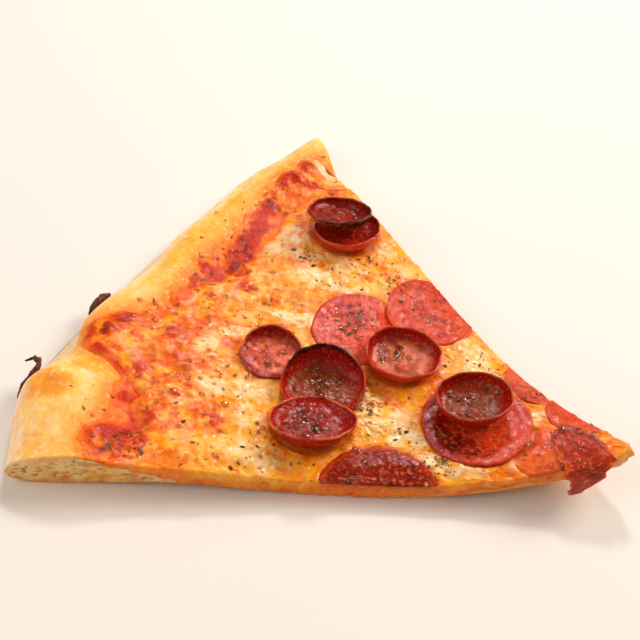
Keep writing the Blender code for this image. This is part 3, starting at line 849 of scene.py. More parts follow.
    def tint(self, x: Array, y: Array) -> Array:
        """Colour of the baked cheese."""
        broad, small = layered(x, y, 13.0, 31), layered(x, y, 4.2, 41)
        colour = blend(Tone.GOLD, Tone.CREAM, 0.85 * ease(broad + 0.8 * small, -0.1, 0.8))
        colour = blend(colour, Tone.ORANGE, 0.6 * ease(-broad + 0.7 * small, 0.0, 0.8))
        colour = blend(colour, Tone.GOLD, 0.8 * self.cover(self.gold, x, y))
        colour = blend(colour, Tone.ORANGE, self.cover(self.orange, x, y) * ease(small, -0.7, 0.25))
        pale = self.cover(self.pale, x, y) * ease(small, -0.75, 0.1)
        greasy = ease(-x, *self.greasy_from) * (1 - pale) * (1 - 0.6 * self.cover(self.gold, x, y))
        colour = blend(colour, Tone.ORANGE, 0.85 * greasy * ease(layered(x, y, 5.0, 45), -0.4, 0.3))
        colour = blend(colour, Tone.RED, 0.7 * greasy * ease(layered(x, y, 9.5, 48), 0.1, 0.7))
        colour = blend(colour, Tone.DEEP_RED, 0.35 * greasy * ease(layered(x, y, 5.0, 49), 0.4, 0.9))
        colour = blend(colour, Tone.PALE, pale)
        _, toast = self.domes(x, y)
        colour = blend(colour, Tone.TOASTED, toast * ease(layered(x, y, 2.4, 51), -0.6, 0.3))
        red = self.cover(self.red, x, y)
        colour = blend(colour, Tone.RED, ease(red + 0.25 * small, 0.25, 0.75))
        colour = blend(colour, Tone.DEEP_RED, ease(red + 0.5 * layered(x, y, 2.5, 61), 0.9, 1.5))
        colour = blend(colour, Tone.CREAM, 0.55 * self.strands(x, y) * (1 - 0.6 * red))
        return blend(colour, Tone.CHAR, self.cover(self.char, x, y))


LOOK = ToppingLook()


# ---- dough


def edge_distance(form: SliceForm, edge: Array, radius: Array, angle: Array) -> Array:
    """Distance in plan to a topping's outer edge, in mm; negative beyond it.

    Args:
        form: The slice's form.
        edge: Radius of the edge at each column's angle, the same in every row.
        radius: Radius of each place.
        angle: Angle of each place, the same in every row.

    Returns:
        The distance at each place.
    """
    edge_x, edge_y = form.plan(edge[0], angle[0])
    x, y = form.plan(radius, angle)
    nearest = [np.hypot(u[:, None] - edge_x, v[:, None] - edge_y).min(1) for u, v in zip(x, y)]
    return np.stack(nearest) * np.sign(edge - radius)


def near_normal(form: SliceForm) -> Array:
    """Direction that the near cut faces, in plan."""
    turn = math.radians(form.half_angle)
    return np.array([-math.sin(turn), -math.cos(turn)])


@dataclass
class DoughBase:
    """The dough: a thin base, the puffed rim and the crumb that shows at both cuts."""

    form: SliceForm
    fine_from: float = 148.0
    coarse_lines: int = 74
    fine_lines: int = 84
    top_columns: int = 150
    side_columns: int = 24
    bottom_columns: int = 70
    crumb_depth: float = 1.3
    puffs: Lumps = Lumps(22.0, 0.6, 101)
    dimples: Lumps = Lumps(7.0, 0.36, 111)
    fine_lumps: tuple[float, float, int] = (2.2, 0.14, 121)
    wrinkle_depth: float = 0.3
    torn: Lumps = Lumps(5.0, 0.4, 191)
    fine_torn: Lumps = Lumps(1.4, 0.15, 193)
    gold_reach: float = 9.0
    stain_reach: float = 2.8
    cream: str = "#fdd582"
    flour: str = "#fbe4cc"
    gold: str = "#fbb634"
    amber: str = "#ea801c"
    brown: str = "#bd681e"
    crumb: str = "#f4d08c"
    # Painted shade: the crumb's shade colour darkens it where it is sunk into the cut, and the pore colour
    # darkens its holes.
    crumb_shade: str = "#d0903e"
    pore_shade: str = "#9c5a20"
    base_brown: str = "#b9702a"
    stain: str = "#f0801c"
    toasted: tuple[Patch, ...] = patches((
        (-184, -71, 11, 8, 20, 0.9), (-188, -68, 6, 6, 0, 0.7), (-178, -55, 9, 6, 20, 0.7),
        (-171, -92, 8, 5, 20, 0.4), (-189, 12, 5, 16, 0, 0.55), (-186, 34, 5, 12, 0, 0.6),
        (-186, 48, 5, 9, 10, 0.6), (-184, 62, 4, 8, 10, 0.4), (-166, -66, 3, 2, 0, 0.5),
        (-188, -8, 5, 8, 0, 0.4), (-176, -78, 8, 4, 30, 0.3), (-185, -58, 4, 3, 0, 0.2),
        (-180, 84, 3, 6, 20, 0.35), (-162, 90, 8, 3, -30, 0.5), (-182, 18, 3, 10, 0, 0.5),
        (-182, -4, 3, 8, 0, 0.5),
    ))
    scorched: tuple[Patch, ...] = patches((
        (-184, -69, 4, 3, 20, 0.6), (-179, -72, 3, 2, 0, 0.4), (-150, -86, 2, 2, 0, 0.5),
        (-187, 19, 1.3, 1.1, 0, 0.6),
    ))

    def lines(self) -> Array:
        """Shares of the way from the tip to the rim's edge, closer together towards the rim."""
        fine_share = self.fine_from / 205.0
        inner = np.linspace(0, fine_share, self.coarse_lines, endpoint=False)
        steps = np.linspace(0, 1, self.fine_lines)
        return np.concatenate([inner, fine_share + (1 - fine_share) * np.sin(steps * np.pi / 2)])

    def relief(self, x: Array, y: Array, share: Array) -> Array:
        """Height of the rim's lumps and wrinkles, in mm, fading out under the toppings."""
        on_rim = 1 - ease(share, 0.7, 1.1)
        edge = ease(share, 0.0, 0.12)
        fine_size, fine_height, fine_seed = self.fine_lumps
        lumps = self.puffs.at(x, y) + self.dimples.at(x, y)
        lumps = lumps + fine_height * grain(x, y, fine_size, fine_seed)
        return (lumps - self.wrinkle_depth * self.wrinkles(x, y, share)) * on_rim * edge

    def wrinkles(self, x: Array, y: Array, share: Array) -> Array:
        """Creases that run along the outside of the rim, strongest towards the far cut."""
        across = 15 * share + 0.9 * layered(x, y, 16.0, 105)
        crease = ease(np.abs(grain(across, 0 * across, 1.4, 106, 0.04 * (x + 2 * y))), 0.16, 0.0)
        return crease * (0.35 + 0.65 * ease(y, 10, 60)) * (1 - ease(share, 0.45, 0.65))

    def top_tint(self, radius: Array, angle: Array, x: Array, y: Array) -> Array:
        """Colour of the crust's top."""
        form = self.form
        outside = smooth_between(form.rim_radius, angle) - radius
        broad, small = layered(x, y, 18.0, 131), layered(x, y, 5.0, 141)
        colour = blend(self.cream, self.gold, 0.75 * ease(broad + 0.5 * small, -0.2, 0.9))
        colour = blend(colour, self.flour, 0.5 * ease(layered(x, y, 3.2, 145) - 0.5 * broad, 0.1, 0.8))
        bake = np.zeros(np.shape(x))
        for patch in self.toasted:
            bake = np.maximum(bake, patch.cover(x + 2 * small, y + 2 * broad))
        colour = blend(colour, self.gold, ease(bake, 0.0, 0.8))
        colour = blend(colour, self.amber, 0.9 * ease(bake + 0.35 * small, 0.25, 1.1))
        scorch = np.zeros(np.shape(x))
        for patch in self.scorched:
            scorch = np.maximum(scorch, patch.cover(x + small, y + broad))
        colour = blend(colour, self.brown, scorch * ease(small, -0.6, 0.4))
        colour = blend(colour, self.flour, 0.75 * (1 - ease(outside, 1.5, 8.0)) * ease(small, -0.9, 0.3))
        share = form.rim_share(radius, angle)
        # Painted shade: the rim's creases are tinted darker amber than the crust round them.
        colour = blend(colour, self.amber, 0.55 * self.wrinkles(x, y, share))
        to_sauce = edge_distance(form, smooth_between(form.sauce_edge, angle), radius, angle)
        from_sauce = np.maximum(0.0, -to_sauce)
        colour = blend(colour, self.gold, 0.95 * np.exp(-from_sauce / self.gold_reach))
        from_stain = np.maximum(0.0, from_sauce + 2 * small - 1)
        return blend(colour, self.stain, 0.95 * np.exp(-from_stain / self.stain_reach))

    def crumb_tint(
        self, radius: Array, height: Array, depth: Array, inward: Array, holes: Array, airy: Array
    ) -> Array:
        """Colour of the crumb at the cuts, with painted shade where it is sunk in and in its holes.

        Args:
            radius: Radius of each place, in mm.
            height: Its height over the slice's underside, in mm.
            depth: Share of the way down the cut.
            inward: How far the place is sunk into the cut, in mm.
            holes: How deep in a hole the place is.
            airy: How open the crumb is there.

        Returns:
            Linear RGB for each place.
        """
        # Painted shade in the crumb's hollows and holes.
        crumb = blend(self.crumb, self.crumb_shade, ease(inward, 0.1, 0.8))
        crumb = blend(crumb, self.pore_shade, 0.8 * ease(holes, 0.7, 1.5) * airy)
        crumb = blend(crumb, self.gold, 0.5 * ease(layered(radius, height, 11.0, 195), 0.1, 0.8))
        crumb = blend(crumb, self.stain, 0.6 * ease(-radius, -160, -138))
        toast = ease(depth + 0.12 * layered(radius, 0 * radius, 3.0, 196), 0.8, 0.98)
        crumb = blend(crumb, self.amber, 0.7 * toast)
        crumb = blend(crumb, self.brown, 0.7 * toast * ease(layered(radius, height, 3.5, 197), 0.0, 0.6))
        return crumb

    def under_tint(self, x: Array, y: Array) -> Array:
        """Colour of the browned, floury underside."""
        spots = layered(x, y, 9.0, 201)
        under = blend(self.gold, self.base_brown, ease(spots, -0.3, 0.7))
        under = blend(under, self.brown, ease(spots, 0.5, 1.0))
        return blend(under, self.flour, 0.5 * ease(layered(x, y, 14.0, 211), 0.3, 0.9))

    def build(self) -> Piece:
        """Build the dough's mesh and dress it."""
        form = self.form
        line = self.lines()[:, None]
        sweep, depth = way_round(self.top_columns, self.side_columns, self.bottom_columns)
        angle = form.half_angle * sweep + 0 * line
        tip = form.tip_radius * (1 + form.tip_rounding * sweep**2)
        rim = smooth_between(form.rim_radius, angle)
        radius = tip + (rim - tip) * line
        depth = depth + 0 * radius
        x, y = form.plan(radius, angle)
        share = form.rim_share(radius, angle)
        top = form.dough_top(radius, angle) + self.relief(x, y, share)
        bottom = form.dough_bottom(radius, angle) + 0.2 * layered(x, y, 9.0, 161) * ease(share, 0.2, 0.5)
        bottom = np.maximum(bottom, 0.0)
        z = top + (bottom - top) * depth
        side = np.abs(np.sin(np.pi * depth)) ** 0.5
        on_side = (np.abs(sweep) > 0.999) & (depth > 0) & (depth < 1)
        height = z - form.underside(radius, angle)
        holes, size = cells(radius / 1.9, height + 40 * (sweep > 0), 3.4, 171)
        pores, _ = cells(radius, height * 1.3 + 40 * (sweep > 0), 1.3, 181)
        bubble = ease(holes, 0.62, 0.2) * ease(size, 0.35, 0.8)
        airy = 0.3 + 0.7 * ease(radius, 150, 175)
        pits = ease(layered(radius / 1.6, height, 1.5, 186), -0.05, 0.65)
        pores = ease(pores, 0.5, 0.1)
        inward = self.crumb_depth * airy * (0.6 * bubble + 0.3 * pores + 0.55 * pits) * side
        inward = inward + (self.torn.at(radius, height) + self.fine_torn.at(radius, height)) * side
        inward = np.where(on_side, inward, 0.0)
        turn = math.radians(form.half_angle)
        x = x + inward * math.sin(turn)
        y = y - inward * np.sign(sweep) * math.cos(turn)
        tint = self.top_tint(radius, angle, x, y)
        holes = pits + 0.6 * pores + 0.4 * bubble
        crumb = self.crumb_tint(radius, height, depth, inward, holes, airy)
        tint = blend(tint, crumb, np.where(on_side, 1.0, 0.0))
        under = self.under_tint(x, y)
        tint = blend(tint, under, np.where(depth >= 1, ease(share, 0.04, 0.24), 0.0))
        split = self.top_columns + self.side_columns
        loops = np.stack([x, y, z], -1)
        return lofted("dough_baked", loops, tint, split, form.offset, BAKED_DOUGH.material())


# ---- sauce


@dataclass
class SauceLayer:
    """The tomato sauce: hidden under the cheese, and bare in a ragged band inside the rim."""

    form: SliceForm
    fine_from: float = 0.8
    coarse_lines: int = 40
    fine_lines: int = 84
    top_columns: int = 200
    side_columns: int = 4
    bottom_columns: int = 60
    raggedness: float = 2.6
    thin_colour: str = "#f89a28"
    pulp: Lumps = Lumps(5.0, 0.5, 311)
    fine_pulp: Lumps = Lumps(2.2, 0.25, 321)
    edge_run: float = 4.0
    overlap: float = 0.5

    def build(self) -> Piece:
        """Build the sauce's mesh and dress it."""
        form = self.form
        line = np.concatenate([
            np.linspace(0, self.fine_from, self.coarse_lines, endpoint=False),
            np.linspace(self.fine_from, 1, self.fine_lines),
        ])[:, None]
        sweep, depth = way_round(self.top_columns, self.side_columns, self.bottom_columns)
        angle = form.half_angle * sweep + 0 * line
        tip = form.tip_radius * (1 + form.tip_rounding * sweep**2)
        arc = angle * 3.2
        edge = smooth_between(form.sauce_edge, angle) + self.raggedness * layered(arc, 0 * arc, 6.0, 301)
        edge = np.minimum(edge, smooth_between(form.rim_radius, angle) - 2.0)
        radius = tip + (edge - tip) * line
        x, y = form.plan(radius, angle)
        dough = form.dough_top(radius, angle) + DoughBase(form).relief(x, y, form.rim_share(radius, angle))
        lumps = self.pulp.at(x, y) + self.fine_pulp.at(x, y)
        from_edge = np.clip(edge_distance(form, edge, radius, angle) / self.edge_run, 0, 1)
        red = LOOK.cover(LOOK.red, x, y)
        top = dough - 0.12 + (form.sauce_thickness + lumps + 0.5 * red) * from_edge**0.8
        depth = depth + 0 * radius
        z = top + (dough - self.overlap - top) * depth
        mottled = layered(x, y, 4.0, 331)
        tint = blend(self.thin_colour, Tone.ORANGE, ease(mottled, -0.6, 0.3))
        tint = blend(tint, Tone.RED, ease(red + 0.4 * mottled, 0.2, 0.75))
        thin = 1 - ease(from_edge + 0.2 * mottled, 0.05, 0.8)
        tint = blend(tint, DoughBase(form).top_tint(radius, angle, x, y), thin * (1 - 0.5 * red))
        veil = ease(angle, 21.5, 24.5) * (1 - red)
        tint = blend(tint, LOOK.tint(x, y), veil)
        tint = blend(tint, Tone.DEEP_RED, ease(red + 0.5 * layered(x, y, 2.5, 61), 0.8, 1.5))
        tint = blend(tint, Tone.CHAR, LOOK.cover(LOOK.char, x, y))
        split = self.top_columns + self.side_columns
        loops = np.stack([x, y, z], -1)
        return lofted("sauce_cooked", loops, tint, split, form.offset, TOMATO_SAUCE.material())


# ---- pepperoni


@dataclass(frozen=True)
class SausageColours:
    """Colours of one slice of sausage.

    Attributes:
        face: The cut face, or a cup's floor; on a slice with a painted fall of light, its painted shade.
        patch: Patches on the face; on a slice with a painted fall of light, also its painted light.
        wall: Inside of a cup's wall.
        lip: The thin line along the edge.
        outside: Outside of a cup's wall.
    """

    face: str
    patch: str
    wall: str = "#8f0f08"
    lip: str = "#d9927c"
    outside: str = "#b3170b"


@dataclass(frozen=True)
class Footprint:
    """A slice of sausage's oval in plan, in mm and degrees."""

    x: float
    y: float
    half_width: float
    half_depth: float
    axis: float = 0.0

    def reach(self, x: Array, y: Array) -> Array:
        """Distance from the middle as a share of the oval: 1 on its edge."""
        along, across = turned(x, y, (self.x, self.y), self.axis)
        return np.hypot(along / self.half_width, across / self.half_depth)

    def edge_distance(self, x: Array, y: Array) -> Array:
        """About how far outside the oval each place is, in mm; negative inside."""
        return (self.reach(x, y) - 1) * min(self.half_width, self.half_depth)


def sausage_shell(
    node: str, rings: Array, middles: Array, tint: Array, face: str, offset: Array
) -> Piece:
    """Make a slice of sausage.

    Args:
        node: The CAD node that it stands for.
        rings: Points as (rings, points round each, 3), from the face's middle out and back underneath.
        middles: The middle points of the face and of the back.
        tint: Linear RGB for each of the rings' points.
        face: Colour of the middle points.
        offset: X and Y that move the plan onto the CAD frame, in mm.

    Returns:
        The new object, in the scene.
    """
    points = np.concatenate([rings.reshape(-1, 3), middles])
    tint = np.concatenate([tint.reshape(-1, 3), np.tile(linear(face), (2, 1))])
    faces = disc_faces(rings.shape[0], rings.shape[1])
    return mesh_object(node + "_fried", points, faces, tint, offset, FRIED_PEPPERONI.material())


@dataclass
class FlatPepperoni:
    """A slice that stayed flat: it drapes over the cheese and is cut off at the slice's cuts."""

    node: str
    oval: Footprint
    colours: SausageColours
    edge_lift: float = 0.3
    # Direction, in degrees, that painted light falls towards across the slice, or None for none.
    painted_light_towards: float | None = None
    middle: Span | None = None
    under: tuple[str, ...] = ()
    thickness: float = 1.2
    sunk: float = 0.3
    rings: int = 40
    around: int = 132
    march: int = 240
    seed: int = 1
    fat: str = "#f5a27c"
    fat_size: float = 1.9
    pressed_down: float = 1.1
    rounding: float = 0.35

    def reach(self, form: SliceForm, ovals: dict[str, Footprint], turn: Array) -> Array:
        """How far the slice goes from its middle in each direction, in mm."""
        centre = self.middle or (self.oval.x, self.oval.y)
        farthest = 2.2 * self.oval.half_width
        steps = np.linspace(0, farthest, self.march)[:, None]
        x = centre[0] + steps * np.cos(turn)
        y = centre[1] + steps * np.sin(turn)
        wave = 1 + 0.035 * layered(6 * np.cos(turn), 6 * np.sin(turn), 3.0, 400 + self.seed)
        inside = self.oval.reach(x, y) < wave
        _, angle = form.place_of(x, y)
        inside &= np.abs(angle) < form.half_angle - 0.05
        for name in self.under:
            inside &= ovals[name].edge_distance(x, y) > -2.0
        first_out = np.argmin(inside, axis=0)
        return steps[np.maximum(first_out - 1, 1), 0]

    def build(self, form: SliceForm, ovals: dict[str, Footprint]) -> Piece:
        """Build the slice's mesh and dress it."""
        centre = self.middle or (self.oval.x, self.oval.y)
        turn = np.linspace(0, 2 * np.pi, self.around, endpoint=False)[None, :]
        reach = self.reach(form, ovals, turn[0])[None, :]
        face = np.linspace(0, 1, self.rings + 1)[1:, None] ** 0.9
        back = np.array([0.995, 0.97, 0.8, 0.5, 0.2])[:, None]
        share = np.concatenate([face, back])
        is_back = np.concatenate([np.zeros_like(face), np.ones_like(back)])
        x = centre[0] + share * reach * np.cos(turn)
        y = centre[1] + share * reach * np.sin(turn)
        radius, angle = form.place_of(x, y)
        angle = np.clip(angle, -form.half_angle, form.half_angle)
        round_share = self.oval.reach(x, y)
        bed = form.cheese_top(radius, angle) - self.sunk
        for name in self.under:
            bed = bed - self.pressed_down * (1 - ease(ovals[name].edge_distance(x, y), -1.0, 4.0))
        bed = bed + self.edge_lift * np.clip(round_share, 0, 1.1) ** 4
        wrinkles = 0.26 * layered(x, y, 7.0, 410 + self.seed) + 0.1 * layered(x, y, 2.4, 420 + self.seed)
        rounding = self.rounding * ease(share, 0.955, 1.0) ** 2
        z = bed + self.thickness - rounding + wrinkles
        z = np.where(is_back > 0, bed + 0.45 * ease(share, 0.97, 1.0), z)
        broad, small = layered(x, y, 9.0, 430 + self.seed), layered(x, y, 2.6, 440 + self.seed)
        patch_and_painted_light = broad + 0.4 * small
        # Painted light and shade: along the given direction the slice runs from its face colour, as painted
        # shade, to its patch colour, as painted light.
        if self.painted_light_towards is not None:
            ahead, _ = turned(x, y, (self.oval.x, self.oval.y), self.painted_light_towards)
            patch_and_painted_light = 0.35 + 0.5 * patch_and_painted_light + ahead / self.oval.half_width
        tint = blend(self.colours.face, self.colours.patch, ease(patch_and_painted_light, 0.0, 0.7))
        grains, kind = cells(x, y, self.fat_size, 450 + self.seed)
        fat = ease(grains, 0.42, 0.2) * ease(kind, 0.45, 0.7)
        tint = blend(tint, self.fat, 0.4 * fat)
        edge = ease(round_share + 0.03 * small, 0.86, 0.99)
        tint = blend(tint, self.colours.lip, 0.8 * edge)
        middles = self.middle_points(form, centre)
        return sausage_shell(
            self.node, np.stack([x, y, z], -1), middles, tint, self.colours.face, form.offset
        )

    def middle_points(self, form: SliceForm, centre: Span) -> Array:
        """The face's and the back's middle point."""
        radius, angle = form.place_of(np.array(centre[0]), np.array(centre[1]))
        bed = float(form.cheese_top(radius, angle)) - self.sunk
        return np.array([[*centre, bed + self.thickness], [*centre, bed]])


@dataclass
class CupPepperoni:
    """A slice whose edge curled up in the heat, into a wall round a floor that holds fat."""

    node: str
    oval: Footprint
    colours: SausageColours
    high: float
    low: float
    towards: float
    falloff: float = 1.0
    char_towards: float = 90.0
    char: float = 0.0
    char_depth: float = 1.2
    char_width: float = 0.3
    jagged: float = 0.25
    thickness: float = 0.7
    sunk: float = 0.5
    floor_share: float = 0.58
    around: int = 144
    floor_rings: int = 22
    wall_rings: int = 20
    lip_rings: int = 5
    under: tuple[str, ...] = ()
    tilt: float = 0.0
    seed: int = 1
    soot: str = "#221612"
    probes: tuple[float, ...] = (-0.55, 0.0, 0.55)

    def floor_plane(self, offset: Array) -> tuple[float, float, float]:
        """Plane of the CAD cup's floor, as its height at the oval's middle and two slopes."""
        tree = BVHTree.FromObject(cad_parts[self.node], bpy.context.evaluated_depsgraph_get())
        rows, heights = [], []
        for step_x, step_y in product(self.probes, repeat=2):
            x = self.oval.x + step_x * self.oval.half_width
            y = self.oval.y + step_y * self.oval.half_depth
            start = Vector(((x + offset[0]) * MM, (y + offset[1]) * MM, RAY_HEIGHT))
            hit = tree.ray_cast(start, Vector((0, 0, -1)))[0]
            if hit is not None:
                rows.append((1.0, x - self.oval.x, y - self.oval.y))
                heights.append(hit.z / MM)
        solved = np.linalg.lstsq(np.array(rows), np.array(heights), rcond=None)[0]
        return float(solved[0]), float(solved[1]), float(solved[2])

    def wall_height(self, direction: Array) -> Array:
        """Height of the wall in each direction, in mm."""
        facing = 0.5 + 0.5 * np.cos(direction - math.radians(self.towards))
        wave = layered(9 * np.cos(direction), 9 * np.sin(direction), 4.0, 500 + self.seed)
        teeth = grain(30 * np.cos(direction), 30 * np.sin(direction), 2.6, 510 + self.seed)
        charred = self.charred(direction)
        height = self.low + (self.high - self.low) * facing**self.falloff
        return np.maximum(0.2, height + self.jagged * wave + 0.45 * charred * teeth)

    def charred(self, direction: Array) -> Array:
        """How far the edge is charred in each direction."""
        facing = 0.5 + 0.5 * np.cos(direction - math.radians(self.char_towards))
        return self.char * ease(facing, 1 - self.char_width - 0.2, 1 - self.char_width + 0.15)

    def build(self, form: SliceForm, ovals: dict[str, Footprint]) -> Piece:
        """Build the cup's mesh and dress it."""
        offset = form.offset
        level, slope_x, slope_y = self.floor_plane(offset)
        turn = np.linspace(0, 2 * np.pi, self.around, endpoint=False)[None, :]
        direction = turn + math.radians(self.oval.axis)
        wall = self.wall_height(direction)
        floor = np.linspace(0, 1, self.floor_rings + 1)[1:, None]
        rise = np.linspace(0, 1, self.wall_rings + 1)[1:, None]
        lip = np.linspace(0, 1, self.lip_rings + 1)[1:, None]
        rest = 1 - self.floor_share
        bend = rise * np.pi / 2
        curve, climb = self.floor_share + rest * np.sin(bend) ** 0.85, wall * (1 - np.cos(bend))
        stations = [
            (self.floor_share * floor, 0, 0, 0), (curve, climb, 0, rise), (1, wall, lip, 1),
            (curve[::-1], climb[::-1], 1, rise[::-1]), (self.floor_share * floor[::-4], 0, 1, 0),
        ]
        parts = [np.broadcast_arrays(*station, wall)[:4] for station in stations]
        share, height, outer, up_wall = (np.concatenate(values) for values in zip(*parts))
        round_x, round_y = 7 * np.cos(direction), 7 * np.sin(direction)
        wobble = 1 + 0.055 * layered(round_x, round_y, 5.0, 520 + self.seed) * share
        half_width = self.oval.half_width * wobble
        half_depth = self.oval.half_depth * wobble
        lip_turn = np.clip(outer, 0, 1) * np.pi
        tilt = up_wall * np.pi / 2
        out = self.thickness / 2 * (1 - np.cos(lip_turn)) * np.sin(tilt)
        sink = np.where(up_wall >= 1, -self.thickness / 2 * np.sin(lip_turn), 0)
        drop = self.thickness * outer * np.cos(tilt) * (up_wall < 1)
        along = (half_width * share + out) * np.cos(turn)
        across = (half_depth * share + out) * np.sin(turn)
        axis = math.radians(self.oval.axis)
        x = self.oval.x + along * math.cos(axis) - across * math.sin(axis)
        y = self.oval.y + along * math.sin(axis) + across * math.cos(axis)
        lean = math.tan(math.radians(self.tilt))
        slope_x += lean * math.cos(math.radians(self.towards))
        slope_y += lean * math.sin(math.radians(self.towards))
        plane = level - self.sunk + slope_x * (x - self.oval.x) + slope_y * (y - self.oval.y)
        wrinkles = 0.36 * layered(x, y, 5.5, 530 + self.seed)
        wrinkles = wrinkles + 0.12 * layered(x, y, 2.0, 540 + self.seed, height)
        z = plane + height - drop - sink + wrinkles * (1 - 0.5 * up_wall)
        for name in self.under:
            pressed = 1 - ease(ovals[name].edge_distance(x, y), -0.9, 0.1)
            z = z + (plane - 1.6 - z) * pressed
        tint = self.tint(x, y, height, wall + 0 * height, share, outer, up_wall, direction + 0 * height)
        middles = np.array([
            [self.oval.x, self.oval.y, level - self.sunk],
            [self.oval.x, self.oval.y, level - self.sunk - self.thickness],
        ])
        return sausage_shell(self.node, np.stack([x, y, z], -1), middles, tint, self.colours.face, offset)

    def tint(self, x: Array, y: Array, height: Array, wall: Array, share: Array, outer: Array,
             up_wall: Array, direction: Array) -> Array:
        """Colour of each place on the cup.

        Args:
            x: Places along X, in mm.
            y: Places along Y, in mm.
            height: Height above the floor, in mm.
            wall: Height of the wall there, in mm.
            share: Distance from the middle as a share of the oval.
            outer: 0 on the inside of the wall, 1 on the outside.
            up_wall: Share of the way up the wall.
            direction: Direction from the middle, in radians.

        Returns:
            Linear RGB for each place.
        """
        colours = self.colours
        broad, small = layered(x, y, 8.0, 550 + self.seed), layered(x, y, 2.4, 560 + self.seed)
        floor = blend(colours.face, colours.patch, ease(broad + 0.5 * small, -0.1, 0.6))
        inside = blend(floor, colours.wall, ease(up_wall + 0.15 * small, 0.05, 0.55))
        outside = blend(colours.outside, colours.wall, 0.5 * ease(small, -0.2, 0.8))
        tint = blend(inside, outside, ease(outer, 0.4, 0.9))
        below_lip = wall - height
        line = (1 - ease(below_lip, 0.1, 0.5)) * ease(wall, 0.6, 1.5)
        tint = blend(tint, colours.lip, 0.75 * line * ease(broad, -0.8, 0.2))
        unburnt = ease(below_lip + 0.5 * small, 0.5 * self.char_depth, self.char_depth)
        burnt = self.charred(direction) * (1 - unburnt)
        return blend(tint, self.soot, burnt)


@dataclass
class TornPepperoni:
    """The torn slice near the tip: ragged, and hanging down over the near cut."""

    node: str = "pepperoni_torn_hanging"
    path: tuple[tuple[float, float, float, float], ...] = (
        (-26.5, 9.0, 0.0, 6.0), (-22.5, 6.2, 0.0, 13.0), (-17.8, 3.0, 0.0, 16.0), (-13.1, -2.0, 0.0, 15.0),
        (-12.0, -4.3, 3.0, 13.5), (-12.2, -5.2, 7.0, 11.0), (-12.8, -5.8, 11.0, 7.0),
        (-13.3, -6.2, 13.0, 3.5),
    )
    edge_turn: float = 38.0
    thickness: float = 1.2
    clearance: float = 0.75
    along_steps: int = 84
    across_steps: int = 56
    ragged: float = 0.3
    colours: SausageColours = SausageColours(face="#b03c1e", patch="#7a1c0c", lip="#e06c28")
    fat: str = "#ee9670"
    smoothing: int = 9

    def build(self, form: SliceForm) -> Piece:
        """Build the torn slice's mesh and dress it."""
        knots = np.arange(len(self.path))
        at = np.linspace(0, len(self.path) - 1, self.along_steps)
        values = np.array(self.path).T
        smooth = [np.interp(at, knots, column) for column in values]
        kernel = np.ones(self.smoothing) / self.smoothing
        padded = [np.pad(column, self.smoothing // 2, "edge") for column in smooth]
        smooth = [np.convolve(column, kernel, "valid") for column in padded]
        centre_x, centre_y, drop, width = (column[:, None] for column in smooth)
        side = np.linspace(-0.5, 0.5, self.across_steps)[None, :]
        edge = np.abs(2 * side) ** 2
        which_side = np.sign(side) * 7 + 0 * at[:, None]
        ragged = 1 + self.ragged * edge * layered(0.9 * at[:, None], which_side, 1.1, 601)
        offset = side * width * ragged
        turn = math.radians(self.edge_turn)
        x = centre_x + offset * math.cos(turn)
        y = centre_y + offset * math.sin(turn)
        edge_x, edge_y = self.path[3][0:2]
        hangs = ease(drop, 0.0, 1.5)
        on_x = x + (edge_x + offset * math.cos(turn) - x) * hangs
        on_y = y + (edge_y + offset * math.sin(turn) - y) * hangs
        radius, angle = form.place_of(on_x, on_y)
        angle = np.clip(angle, -form.half_angle, form.half_angle)
        crumple = 0.5 * layered(x, y, 5.0, 611, drop) + 0.22 * layered(x, y, 2.0, 621, drop)
        level = form.cheese_top(radius, angle) + self.clearance - drop
        out = near_normal(form)
        hem = 1.4 * np.sin(at[:, None] * 2.2) * edge * hangs
        x = x + out[0] * (0.7 * crumple + 0.4) * hangs
        y = y + out[1] * (0.7 * crumple + 0.4) * hangs
        top = np.stack([x, y, level + crumple * (1 - 0.6 * hangs) + hem * 0.3 + self.thickness / 2], -1)
        thick = self.thickness * (1 - 0.6 * edge)
        inward = np.stack([-out[0] * hangs * thick, -out[1] * hangs * thick, -(1 - hangs) * thick], -1)
        back = top + inward
        rows = np.concatenate([top, back[:, ::-1]], 1)
        broad, small = layered(x, y, 5.0, 631, drop), layered(x, y, 1.8, 641, drop)
        tint = blend(self.colours.face, self.colours.patch, ease(broad + 0.5 * small, -0.1, 0.6))
        tint = blend(tint, self.colours.lip, 0.9 * ease(edge + 0.3 * small, 0.55, 0.95))
        tint = blend(tint, self.fat, 0.6 * ease(small, 0.35, 0.8))
        tint = np.concatenate([tint, tint[:, ::-1]], 1)
        split = self.across_steps
        return lofted(self.node + "_fried", rows, tint, split, form.offset, FRIED_PEPPERONI.material())


# ---- cheese


